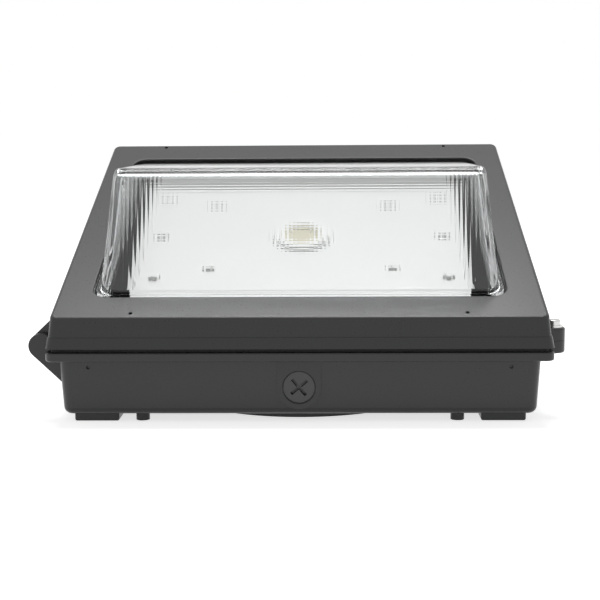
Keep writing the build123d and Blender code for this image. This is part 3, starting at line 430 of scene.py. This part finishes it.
def phosphor_silicone():
    """Phosphor in milky silicone: pale straw, glossy, a little translucent."""
    return surface_material(
        "phosphor_silicone",
        (linear("#cfc8ae"), linear("#d6d0b8")),
        roughness=(0.2, 0.28),
        lump_mm=0.4,
        bump_mm=0.003,
        shade_mm=2.0,
        sockets={"Subsurface Weight": 0.25, "Subsurface Scale": 0.6 * MM, "Coat Weight": 0.4},
    )


def moulded_polycarbonate():
    """White moulded polycarbonate: even, with a satin tool finish."""
    colours = (linear("#e6e6e4"), linear("#eeeeec"))
    return surface_material(
        "white_polycarbonate", colours, roughness=(0.36, 0.44), lump_mm=0.5, bump_mm=0.004
    )


def black_nylon():
    """Glass-filled black nylon: a dull sheen, a little uneven."""
    return surface_material(
        "glass_filled_nylon",
        (linear("#1b1b1c"), linear("#252526")),
        roughness=(0.42, 0.56),
        lump_mm=0.6,
        bump_mm=0.008,
        shade_mm=9.0,
    )


def insulation(name, hex_colour):
    """Extruded PVC wire insulation: smooth, slightly waxy."""
    base = linear(hex_colour)
    gain, lift = 1.12, 0.004
    lighter = tuple(min(1.0, c * gain + lift) for c in base)
    return surface_material(
        name, (base, lighter), roughness=(0.32, 0.42), lump_mm=0.6, bump_mm=0.003, shade_mm=12.0
    )


def coat(material, *nodes):
    """Gives a material to carried-over nodes."""
    for name in nodes:
        for slot in frame["nodes"][name].material_slots:
            slot.material = material


# ---- mesh helpers ----
def face_points(x, v, w):
    """Points of the sloping face's own axes as points of the fixture: centre + x across + v up + w out."""
    x, v, w = np.broadcast_arrays(x, v, w)
    along = np.multiply.outer(v, np.array(FACE_UP))
    out = np.multiply.outer(w, np.array(FACE_NORMAL))
    points = along + out + np.array(FACE_CENTRE)
    points[..., 0] += x
    return points.reshape(-1, 3)


def make_piece(name, vertices, faces, material, smooth_degrees=40.0):
    """A mesh object from points and arrays of faces, merged, facing outwards, smooth below an angle."""
    mesh = bpy.data.meshes.new(name)
    polygons = [polygon for part in faces for polygon in part.tolist()]
    mesh.from_pydata(np.asarray(vertices, float).tolist(), [], polygons)
    work = bmesh.new()
    work.from_mesh(mesh)
    bmesh.ops.remove_doubles(work, verts=work.verts, dist=MERGE_WITHIN)
    bmesh.ops.recalc_face_normals(work, faces=work.faces)
    work.to_mesh(mesh)
    work.free()
    mesh.polygons.foreach_set("use_smooth", np.ones(len(mesh.polygons), bool))
    mesh.set_sharp_from_angle(angle=math.radians(smooth_degrees))
    mesh.materials.append(material)
    piece = bpy.data.objects.new(name, mesh)
    bpy.context.scene.collection.objects.link(piece)
    return piece


def grid_quads(rows, columns, start=0, closed=False):
    """Quads of a grid of rows by columns points, whose rows may be closed rings.

    A point of a row, the one ahead of it, and the same two of the next row make a quad.
    """
    row = np.arange(rows - 1)[:, None] * columns + start
    here = np.arange(columns if closed else columns - 1)[None, :]
    ahead = (here + 1) % columns
    quads = np.stack([row + here, row + ahead, row + columns + ahead, row + columns + here], -1)
    return quads.reshape(-1, 4)


# ---- the pressed glass refractor ----
def wedge(sizes, inset):
    """The wedge's profile, set in by a depth, as a function that gives height and slope angle at v.

    A steep plane rises to the ridge and a long one falls away from it. A circle touches both, and its
    radius is the ridge's rounding less the inset. Before the circle the height is the near plane's,
    behind it the far plane's, and between them the circle's.
    """
    rise, fall, rounding = sizes["near_angle"], sizes["far_angle"], sizes["ridge_rounding"]
    tangent = rounding * math.tan((rise + fall) / 2)
    centre_v = sizes["ridge_v"] - tangent * math.cos(rise) + rounding * math.sin(rise)
    centre_w = sizes["ridge_w"] - tangent * math.sin(rise) - rounding * math.cos(rise)
    radius = rounding - inset

    def profile(v):
        """The height and the slope angle of the plane or circle over v."""
        off = v - centre_v
        near = centre_w + (radius + off * math.sin(rise)) / math.cos(rise)
        far = centre_w + (radius - off * math.sin(fall)) / math.cos(fall)
        on_arc = (off > -radius * math.sin(rise)) & (off < radius * math.sin(fall))
        inside = np.clip(off, -radius, radius)
        arc = centre_w + np.sqrt(radius**2 - inside**2)
        height = np.where(on_arc, arc, np.where(off < 0, near, far))
        angle = np.where(on_arc, -np.arcsin(inside / radius), np.where(off < 0, rise, -fall))
        return height, angle

    return profile


def side_line(sizes, v):
    """How far from the middle the corner centres of the sides stand at v.

    It is the outline's half width there, which falls with v by the taper, less the corner's radius
    measured across.
    """
    taper = sizes["taper"]
    edge = sizes["half_width"] - (v + sizes["half_length"]) * math.tan(taper)
    return edge - sizes["corner"] / math.cos(taper)


def dome_outline(sizes, xs, vs):
    """The dome's round-cornered outline, which narrows up the face, for every ring of the glass to follow.

    Gives the centre of each perimeter point, its heading, and the crown grid's vertex behind it. A point
    inset by a depth lies at its centre plus (corner - depth) along its heading. Each side ends in a
    corner, whose points keep the side's last centre while their heading turns to the next side's.
    """
    taper, quarter = sizes["taper"], math.pi / 2
    half = sizes["half_length"] - sizes["corner"]
    near_x, far_x = side_line(sizes, -half), side_line(sizes, half)
    side_x = side_line(sizes, vs)
    grid = np.arange(len(vs) * len(xs)).reshape(len(vs), len(xs))
    sides = [
        (np.clip(xs, -near_x, near_x), np.full(len(xs), -half), grid[0]),
        (side_x, vs, grid[:, -1]),
        (np.clip(xs, -far_x, far_x)[::-1], np.full(len(xs), half), grid[-1, ::-1]),
        (-side_x[::-1], vs[::-1], grid[::-1, 0]),
    ]
    headings = [-quarter, taper, quarter, math.pi - taper, 3 * quarter]
    turn = np.linspace(0, 1, CORNER_POINTS + 2)[1:-1]
    parts = []
    for side, heading, next_heading in zip(sides, headings, headings[1:]):
        x, v, vertex = [np.pad(values, (0, CORNER_POINTS), "edge") for values in side]
        straight = np.full(len(side[0]), heading)
        corner = heading + turn * (next_heading - heading)
        parts.append((x, v, np.concatenate([straight, corner]), vertex))
    return [np.concatenate(part) for part in zip(*parts)]


def outer_skirt(sizes, side, start_w, wall_inset):
    """The outer skin's rings under the wall: flange, base and a hollow fillet up to the dome.

    side is 1 where the outline faces left or right and falls to 0 at its near and far edges. The
    shoulder, its rounding and the fillet go with it. The fillet is a quarter circle.
    """
    low, flange_top, chamfer = sizes["flange_low"], sizes["flange_top"], sizes["flange_chamfer"]
    shoulder, rounding = sizes["shoulder"] * side, sizes["base_rounding"] * side
    fillet = sizes["base_fillet"] * side
    # The base's top is level with the face, or lower where the crown comes down to it.
    top = np.clip(np.minimum(0.0, start_w - fillet), flange_top + chamfer, 0.0)
    fillet = np.clip(start_w - top, 0.0, fillet)
    edge = -shoulder - sizes["flange_reach"]
    cut = ROUND_MIDDLE_SHARE * rounding
    rings = [
        (edge + chamfer, low),
        (edge, low + chamfer),
        (edge, flange_top - chamfer),
        (edge + chamfer, flange_top),
        (-shoulder - chamfer, flange_top),
        (-shoulder, flange_top + BASE_ROW_SHARE * (top - flange_top)),
        (-shoulder, top - rounding),
        (-shoulder + cut, top - cut),
        (-shoulder + rounding, top),
    ]
    foot = wall_inset(top + fillet)
    for t in np.linspace(0, math.pi / 2, FILLET_STEPS + 1):
        rings.append((foot - fillet * (1 - math.sin(t)), top + fillet * (1 - math.cos(t))))
    return rings


def inner_skirt(sizes, side, start_w, wall_inset):
    """The inner skin's one ring under the wall, where the hollow starts at the flange's underside.

    It takes what the outer skirt takes, so that a skin can have either.
    """
    low = sizes["flange_low"]
    return [(np.full_like(side, wall_inset(low)), low)]


def wall_and_rim(sizes, inset, rounding, centre_v, heading, skirt):
    """A skin's rings from its foot to its crown, each an inset and a height for every perimeter point.

    The wall leans in by the draft. The rim is the arc that touches the wall and the crown, so it turns
    by a right angle less the draft and less the crown's slope, seen inwards, and it is tighter along the
    near edge. skirt gives the rings under the wall, from the height where the rim starts and from how
    far in the wall stands at a height.
    """
    profile = wedge(sizes, inset)
    corner, draft = sizes["corner"], sizes["draft"]
    out_x, out_v = np.cos(heading), np.sin(heading)

    def wall_inset(w):
        """How far in the wall stands at a height: the skin's inset, and the draft's lean up to there."""
        return inset / math.cos(draft) + (w - sizes["lean_from"]) * math.tan(draft)

    # Wall and crown meet where both have one height: each round halves the way to the crown's.
    edge_w = np.full_like(centre_v, sizes["ridge_w"] / 2)
    for _ in range(EDGE_ROUNDS):
        edge_v = centre_v + (corner - wall_inset(edge_w)) * out_v
        edge_w = (edge_w + profile(edge_v)[0]) / 2
    slope = np.arctan(-out_v * np.tan(profile(edge_v)[1]))
    radius = rounding * (1 - NEAR_RIM_TIGHTENING * np.clip(-out_v, 0, 1))
    turn = math.pi / 2 - draft - slope
    tangent = radius * np.tan(turn / 2)
    start_w = edge_w - tangent * math.cos(draft)
    start = wall_inset(edge_w) - tangent * math.sin(draft)
    rings = skirt(sizes, np.abs(out_x), start_w, wall_inset)
    foot, foot_w = rings[-1]
    for t in np.linspace(0, 1, WALL_STEPS + 1)[1:]:
        rings.append((foot + t * (start - foot), foot_w + t * (start_w - foot_w)))
    middle, middle_w = start + radius * math.cos(draft), start_w - radius * math.sin(draft)
    for t in np.linspace(0, 1, RIM_STEPS + 1)[1:]:
        angle = math.pi - draft - t * turn
        rings.append((middle + radius * np.cos(angle), middle_w + radius * np.sin(angle)))
    return rings


def glass_skin(sizes, inset, rounding, xs, vs, skirt, relief):
    """One skin of the glass: up its leaning wall, over its rounded rim and across its crown.

    The crown is the wedge's height over a grid of x and v, clipped to the outline. Further rings on the
    crown and a belt of faces join the rim to that grid. relief moves a point of the crown square to it
    by a depth that depends on x and v, and fades in over those rings. Gives the points, the faces, and
    the angle round the middle of each point of the lowest ring.
    """
    profile = wedge(sizes, inset)
    centre_x, centre_v, heading, behind = dome_outline(sizes, xs, vs)
    corner, out_x, out_v = sizes["corner"], np.cos(heading), np.sin(heading)
    rings = wall_and_rim(sizes, inset, rounding, centre_v, heading, skirt)
    walls, rim = len(rings), rings[-1][0]
    for t in CROWN_SHARES:
        depth = rim + t * (corner - rim)
        rings.append((depth, profile(centre_v + (corner - depth) * out_v)[0]))
    depth, w = np.array([np.broadcast_arrays(*ring) for ring in rings]).transpose(1, 0, 2)
    x = centre_x + (corner - depth) * out_x
    v = centre_v + (corner - depth) * out_v
    grid_v = np.repeat(vs[:, None], len(xs), 1)
    grid_x = np.clip(xs[None, :], -side_line(sizes, grid_v), side_line(sizes, grid_v))
    grid_w = profile(grid_v)[0]

    def pressed(x, v, w, share):
        """Points with a share of the relief's depth, square to the crown."""
        move, angle = share * relief(x, v), profile(v)[1]
        return face_points(x, v - move * np.sin(angle), w + move * np.cos(angle))

    share = np.clip((np.arange(len(rings)) - walls + 1) / len(CROWN_SHARES), 0, 1)[:, None]
    points = np.vstack([pressed(x, v, w, share), pressed(grid_x, grid_v, grid_w, 1.0)])
    count, crown_start = len(heading), x.size
    last_ring = crown_start - count + np.arange(count)
    inner_edge = crown_start + behind
    belt = np.stack([last_ring, np.roll(last_ring, -1), np.roll(inner_edge, -1), inner_edge], -1)
    fan = belt[:, 2] == belt[:, 3]
    faces = [
        grid_quads(len(rings), count, closed=True),
        belt[~fan],
        belt[fan, :3],
        grid_quads(len(vs), len(xs), crown_start),
    ]
    round_angle = np.unwrap(np.arctan2(v[0] / sizes["half_length"], x[0] / sizes["half_width"]))
    return points, faces, round_angle


def bridge_rings(first, second, second_start):
    """Triangles between two closed rings with their own numbers of points, by their angles round the middle.

    Each step forward on either ring makes a triangle with the point last passed on the other.
    """
    full_turn = 2 * math.pi
    first, second = first - first[0], second - first[0]
    here = np.arange(len(first))
    next_angle = np.append(first[1:], first[0] + full_turn)
    passed = (np.searchsorted(second, next_angle, side="left") - 1) % len(second)
    along_first = np.stack([here, np.roll(here, -1), second_start + passed], -1)
    here = np.arange(len(second))
    next_angle = np.append(second[1:], second[0] + full_turn)
    passed = (np.searchsorted(first, next_angle, side="right") - 1) % len(first)
    along_second = np.stack([second_start + np.roll(here, -1), second_start + here, passed], -1)
    return [along_first, along_second]


def count_ribs(sizes, half):
    """Finely spaced v up the crown, and how many ribs have been passed there.

    The way over the crown is the sum of its small steps in v and height, and a whole number of ribs
    shares it out, so that each is about the rib pitch.
    """
    fine = np.linspace(-half, half, LENGTH_SAMPLES)
    height = wedge(sizes, 0.0)(fine)[0]
    length = np.concatenate([[0.0], np.cumsum(np.hypot(np.diff(fine), np.diff(height)))])
    ribs = round(length[-1] / sizes["rib_pitch"])
    return fine, length / length[-1] * ribs, ribs


def press_refractor(sizes):
    """The whole glass: the ribbed skin outside, the fluted skin inside, and the seat between them.

    The outer rows follow the ribs and the inner columns the flutes. The inner rows stand closer together
    round the ridge.
    """
    half = sizes["half_length"] - sizes["corner"]
    wide = side_line(sizes, -half)
    fine, ribs_passed, ribs = count_ribs(sizes, half)

    def rib(x, v):
        """A rib's height on the skin: a parabola across each pitch, so the valleys between are sharp."""
        step = np.interp(v, fine, ribs_passed)
        step = step - np.round(step)
        depth = np.where(v < sizes["ridge_v"], sizes["rib_depth"], sizes["far_rib_depth"])
        return -depth * 4 * step**2

    def flute(x, v):
        """A flute's height under the skin: the same parabola across x, which fades at the flutes' ends."""
        step = x / sizes["flute_pitch"]
        step = step - np.round(step)
        fade = np.clip((sizes["flute_reach"] - np.abs(x)) / sizes["flute_pitch"], 0, 1)
        return -sizes["flute_depth"] * fade * (1 - 4 * step**2)

    columns = np.linspace(-wide, wide, OUTER_COLUMNS)
    rows = np.interp(np.linspace(0, ribs, ROWS_PER_RIB * ribs + 1), ribs_passed, fine)
    outside = glass_skin(sizes, 0.0, sizes["rounding"], columns, rows, outer_skirt, rib)

    steps = COLUMNS_PER_FLUTE * (int(wide / sizes["flute_pitch"]) + 1)
    columns = np.arange(-steps, steps + 1) * sizes["flute_pitch"] / COLUMNS_PER_FLUTE
    bend = sizes["ridge_v"] + np.linspace(-BEND_REACH, BEND_REACH, BEND_ROWS)
    near_rows = np.linspace(-half, bend[0], INNER_NEAR_ROWS)[:-1]
    far_rows = np.linspace(bend[-1], half, INNER_FAR_ROWS)[1:]
    rows = np.concatenate([near_rows, bend, far_rows])
    inset, rounding = sizes["thickness"], sizes["inner_rounding"]
    inside = glass_skin(sizes, inset, rounding, columns, rows, inner_skirt, flute)

    start = len(outside[0])
    faces = outside[1] + [part[:, ::-1] + start for part in inside[1]]
    faces += bridge_rings(outside[2], inside[2], start)
    return np.vstack([outside[0], inside[0]]), faces


# ---- the reflector's folded edges ----
def fold_strip(half_run, root, nose, upslope=False):
    """A sheet strip along x: its cross-section runs from the root to a half circle at the nose and back.

    root and nose are (v, w) pairs, and the half circle's middle is half a thickness short of the nose.
    A strip that runs up the slope has (x, w) pairs instead.
    """
    root, nose = np.array(root), np.array(nose)
    along = (nose - root) / np.linalg.norm(nose - root)
    square = np.array([-along[1], along[0]])
    turn = np.linspace(-math.pi / 2, math.pi / 2, FOLD_NOSE_POINTS)[:, None]
    radius = FOLD_THICKNESS / 2
    end = nose - radius * along + radius * (np.cos(turn) * along + np.sin(turn) * square)
    section = np.vstack([root - radius * square, end, root + radius * square])
    count = len(section)
    run, out = np.repeat([-half_run, half_run], count), np.tile(section[:, 0], 2)
    x, v = (out, run) if upslope else (run, out)
    points = face_points(x, v, np.tile(section[:, 1], 2))
    first_end = np.arange(count)[None, :]
    return points, [grid_quads(2, count, closed=True), first_end[:, ::-1], first_end + count]


# ---- what a user may change ----
class RefractorSizes(PropertyGroup):
    """Sizes of the pressed glass."""

    flute_pitch: FloatProperty(
        name="Flute pitch",
        description="Spacing of the flutes inside the glass",
        default=2.8 * MM,
        unit="LENGTH",
    )
    flute_depth: FloatProperty(
        name="Flute depth",
        description="Depth of the flutes inside the glass",
        default=0.13 * MM,
        unit="LENGTH",
    )
    rib_pitch: FloatProperty(
        name="Rib pitch",
        description="Spacing of the ribs outside the glass",
        default=1.85 * MM,
        unit="LENGTH",
    )
    rib_depth: FloatProperty(
        name="Rib depth",
        description="Depth of the ribs outside the glass, on its near plane",
        default=0.07 * MM,
        unit="LENGTH",
    )
    thickness: FloatProperty(
        name="Wall",
        description="Thickness of the glass",
        default=5.0 * MM,
        unit="LENGTH",
    )


class FinishColours(PropertyGroup):
    """Colours of the finishes."""

    casting_colour: FloatVectorProperty(
        name="Powder coat",
        description="Colour of the coated castings",
        subtype="COLOR",
        default=linear("#2c2c2d"),
    )
    reflector_colour: FloatVectorProperty(
        name="Reflector enamel",
        description="Colour of the reflector tray",
        subtype="COLOR",
        default=linear("#e5e5e4"),
    )


class StageLights(PropertyGroup):
    """Strengths of the studio light."""

    softbox: FloatProperty(
        name="Softbox",
        description="Power of the overhead softbox",
        default=13.4,
        unit="POWER",
    )
    surround: FloatProperty(
        name="Surround",
        description="Strength of the room's own light",
        default=0.38,
    )


class WallPackSettings(PropertyGroup):
    """Everything that can be changed."""

    refractor: PointerProperty(type=RefractorSizes)
    finishes: PointerProperty(type=FinishColours)
    lights: PointerProperty(type=StageLights)


# ---- operators, one for each piece or group of like pieces ----
class WALLPACK_OT_coat_castings(Operator):
    """Powder coats the rear housing, the door and the closure plugs"""

    bl_idname = "wall_pack.coat_castings"
    bl_label = "Coat castings"

    def execute(self, context):
        coat(powder_coated_aluminium(), "rear_housing", "door_frame")
        coat(powder_coated_zinc(), "plug_bottom", "plug_top", "plug_left", "plug_right")
        return {"FINISHED"}


class WALLPACK_OT_fit_seals(Operator):
    """Gives the gaskets their silicone"""

    bl_idname = "wall_pack.fit_seals"
    bl_label = "Fit seals"

    def execute(self, context):
        coat(silicone_rubber(), "housing_gasket", "lens_gasket")
        return {"FINISHED"}


class WALLPACK_OT_press_refractor(Operator):
    """Presses the fluted glass refractor"""

    bl_idname = "wall_pack.press_refractor"
    bl_label = "Press refractor"

    def execute(self, context):
        settings = context.scene.wall_pack.refractor
        sizes = {
            **GLASS_FORM,
            "thickness": settings.thickness,
            "flute_pitch": settings.flute_pitch,
            "flute_depth": settings.flute_depth,
            "rib_pitch": settings.rib_pitch,
            "rib_depth": settings.rib_depth,
            "far_rib_depth": FAR_RIB_DEPTH_SHARE * settings.rib_depth,
        }
        vertices, faces = press_refractor(sizes)
        glass = make_piece("pressed_refractor", vertices, faces, pressed_glass())
        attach(glass, "door")
        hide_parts("glass_refractor")
        return {"FINISHED"}


class WALLPACK_OT_plate_hardware(Operator):
    """Gives screws, washers, clips and brackets their metals, and the screws' rings their nylon"""

    bl_idname = "wall_pack.plate_hardware"
    bl_label = "Plate hardware"

    def execute(self, context):
        painted = ("ground_screw", "tray_screws", "heat_sink_screws")
        other = ("screw_retainer_near", "screw_retainer_far", *painted)
        screws = [name for name in frame["nodes"] if "screw" in name and name not in other]
        coat(stainless_steel(), "closure_washer_near", "closure_washer_far", *screws)
        clips = [f"lens_clip_{number}" for number in range(1, 9)]
        coat(zinc_plated_steel(), *clips)
        coat(galvanised_sheet(), "bracket_left", "bracket_right")
        coat(natural_nylon(), "screw_retainer_near", "screw_retainer_far")
        return {"FINISHED"}


class WALLPACK_OT_dress_light_engine(Operator):
    """Finishes the reflector tray, its folded edges, the heat sink and the light source"""

    bl_idname = "wall_pack.dress_light_engine"
    bl_label = "Dress light engine"

    def execute(self, context):
        enamel = baked_enamel()
        coat(enamel, "reflector_tray", "tray_screws", "heat_sink_screws")
        edges = [
            ("reflector_far_wall", fold_strip(TRAY_HALF_WIDTH, FAR_WALL_ROOT, FAR_WALL_NOSE)),
            ("reflector_near_apron", fold_strip(TRAY_HALF_WIDTH, NEAR_APRON_ROOT, NEAR_APRON_NOSE)),
        ]
        for name, side in (("reflector_left_wing", -1), ("reflector_right_wing", 1)):
            mirror = np.array([side, 1])
            wing = fold_strip(WING_HALF_RUN, mirror * WING_ROOT, mirror * WING_NOSE, upslope=True)
            edges.append((name, wing))
        for name, strip in edges:
            edge = make_piece(name, *strip, enamel)
            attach(edge, frame["nodes"]["reflector_tray"]["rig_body"])
        coat(extruded_aluminium(), "heat_sink", "driver_case")
        coat(silicone_pad(), "thermal_pad")
        coat(white_ceramic(), "cob_board")
        coat(phosphor_silicone(), "cob_emitter")
        coat(moulded_polycarbonate(), "cob_holder")
        return {"FINISHED"}


class WALLPACK_OT_dress_wiring(Operator):
    """Finishes the driver's caps, the terminal block and the leads"""

    bl_idname = "wall_pack.dress_wiring"
    bl_label = "Dress wiring"

    def execute(self, context):
        coat(black_nylon(), "driver_cap_left", "driver_cap_right", "terminal_block")
        coat(insulation("black_pvc", "#161616"), "supply_lead_line", "led_lead_negative")
        coat(insulation("white_pvc", "#e3e3df"), "supply_lead_neutral")
        coat(insulation("green_pvc", "#1d7a3a"), "supply_lead_earth", "ground_lead", "ground_screw")
        coat(insulation("red_pvc", "#a8201c"), "led_lead_positive")
        return {"FINISHED"}


class WALLPACK_OT_set_stage(Operator):
    """Sets the floor, the studio light and the photograph's camera"""

    bl_idname = "wall_pack.set_stage"
    bl_label = "Set stage"

    def execute(self, context):
        lights = context.scene.wall_pack.lights
        make_floor()
        make_world(lights.surround)
        make_softbox(lights.softbox)
        make_camera()
        return {"FINISHED"}


class WALLPACK_PT_fixture(Panel):
    """Lists the pieces and what can be changed"""

    bl_idname = "WALLPACK_PT_fixture"
    bl_label = "Wall Pack Light"
    bl_space_type = "VIEW_3D"
    bl_region_type = "UI"
    bl_category = "Wall Pack"

    def draw(self, context):
        settings = context.scene.wall_pack
        for group in (settings.refractor, settings.finishes, settings.lights):
            box = self.layout.box()
            for key in group.bl_rna.properties.keys():
                if key not in ("rna_type", "name"):
                    box.prop(group, key)
        for operator in OPERATORS:
            self.layout.operator(operator.bl_idname)


# ---- stage ----
def seen_rays(tree):
    """1 for rays that look at the background straight, in a gloss or through glass, and 0 for the rest."""
    rays = add_node(tree, "ShaderNodeLightPath")
    links = {0: rays.outputs["Is Camera Ray"], 1: rays.outputs["Is Glossy Ray"]}
    straight = add_node(tree, "ShaderNodeMath", {"operation": "MAXIMUM"}, links)
    links = {0: straight.outputs[0], 1: rays.outputs["Is Transmission Ray"]}
    return add_node(tree, "ShaderNodeMath", {"operation": "MAXIMUM"}, links).outputs[0]


def make_floor():
    """A wide white floor on the feet's plane: its own glow fills it up to white where it is seen."""
    half = FLOOR_HALF
    corners = [(-half, -half, 0), (half, -half, 0), (half, half, 0), (-half, half, 0)]
    mesh = bpy.data.meshes.new("floor")
    mesh.from_pydata(corners, [], [(0, 1, 2, 3)])
    material, tree = new_material("white_studio_floor")
    settings = {"To Min": 0.0, "To Max": FLOOR_GLOW}
    glow = add_node(tree, "ShaderNodeMapRange", settings, {"Value": seen_rays(tree)})
    settings = {
        "Base Color": (*linear("#ececec"), 1.0),
        "Roughness": 0.9,
        "Specular IOR Level": 0.0,
        "Emission Color": (1.0, 1.0, 1.0, 1.0),
    }
    shader = add_node(tree, "ShaderNodeBsdfPrincipled", settings, {"Emission Strength": glow.outputs[0]})
    add_node(tree, "ShaderNodeOutputMaterial", links={"Surface": shader.outputs[0]})
    mesh.materials.append(material)
    floor = bpy.data.objects.new("floor", mesh)
    bpy.context.scene.collection.objects.link(floor)


def make_world(strength):
    """A white surround: full white where it is seen, softer where it lights."""
    world = bpy.data.worlds.new("studio_surround")
    world.use_nodes = True
    tree = world.node_tree
    tree.nodes.clear()
    settings = {"To Min": strength, "To Max": 1.0}
    level = add_node(tree, "ShaderNodeMapRange", settings, {"Value": seen_rays(tree)})
    settings = {"Color": (1.0, 1.0, 1.0, 1.0)}
    background = add_node(tree, "ShaderNodeBackground", settings, {"Strength": level.outputs[0]})
    add_node(tree, "ShaderNodeOutputWorld", links={"Surface": background.outputs[0]})
    bpy.context.scene.world = world


def make_softbox(power):
    """A rectangular lamp over the fixture that faces it."""
    light = bpy.data.lights.new("overhead_softbox", "AREA")
    light.shape = "RECTANGLE"
    light.size, light.size_y = SOFTBOX_SIZE
    light.energy = power
    lamp = bpy.data.objects.new("overhead_softbox", light)
    bpy.context.scene.collection.objects.link(lamp)
    turn = (SOFTBOX_AIM - Vector(SOFTBOX_PLACE)).to_track_quat("-Z", "Y").to_matrix().to_4x4()
    lamp.matrix_world = Matrix.Translation(SOFTBOX_PLACE) @ turn


def make_camera():
    """The photograph's camera: a long lens, just above the door, looking slightly down."""
    down, yaw, roll = CAMERA_DOWN, CAMERA_YAW, CAMERA_ROLL
    forward = Vector((math.sin(yaw) * math.cos(down), math.cos(yaw) * math.cos(down), -math.sin(down)))
    right = Vector((math.cos(yaw), -math.sin(yaw), 0.0))
    up = right.cross(forward)
    tilted_right = math.cos(roll) * right + math.sin(roll) * up
    tilted_up = -math.sin(roll) * right + math.cos(roll) * up
    camera = bpy.data.cameras.new("photo_camera")
    camera.sensor_width = SENSOR_MM
    camera.lens = SENSOR_MM * FOCAL_PIXELS / PHOTO_PIXELS
    holder = bpy.data.objects.new("photo_camera", camera)
    turn = Matrix((tilted_right, tilted_up, -forward)).transposed().to_4x4()
    holder.matrix_world = Matrix.Translation(CAMERA_PLACE) @ turn
    bpy.context.scene.collection.objects.link(holder)
    bpy.context.scene.camera = holder


OPERATORS = (
    WALLPACK_OT_coat_castings,
    WALLPACK_OT_fit_seals,
    WALLPACK_OT_press_refractor,
    WALLPACK_OT_plate_hardware,
    WALLPACK_OT_dress_light_engine,
    WALLPACK_OT_dress_wiring,
    WALLPACK_OT_set_stage,
)
CLASSES = (RefractorSizes, FinishColours, StageLights, WallPackSettings, *OPERATORS, WALLPACK_PT_fixture)


def register():
    """Adds the settings, the operators and the panel."""
    for item in CLASSES:
        bpy.utils.register_class(item)
    bpy.types.Scene.wall_pack = PointerProperty(type=WallPackSettings)


def unregister():
    """Takes them away again."""
    del bpy.types.Scene.wall_pack
    for item in reversed(CLASSES):
        bpy.utils.unregister_class(item)


def main():
    register()
    bpy.context.scene.view_settings.view_transform = "Standard"
    bpy.ops.wall_pack.coat_castings()
    bpy.ops.wall_pack.fit_seals()
    bpy.ops.wall_pack.press_refractor()
    bpy.ops.wall_pack.plate_hardware()
    bpy.ops.wall_pack.dress_light_engine()
    bpy.ops.wall_pack.dress_wiring()
    bpy.ops.wall_pack.set_stage()


if __name__ == "__main__":
    main()
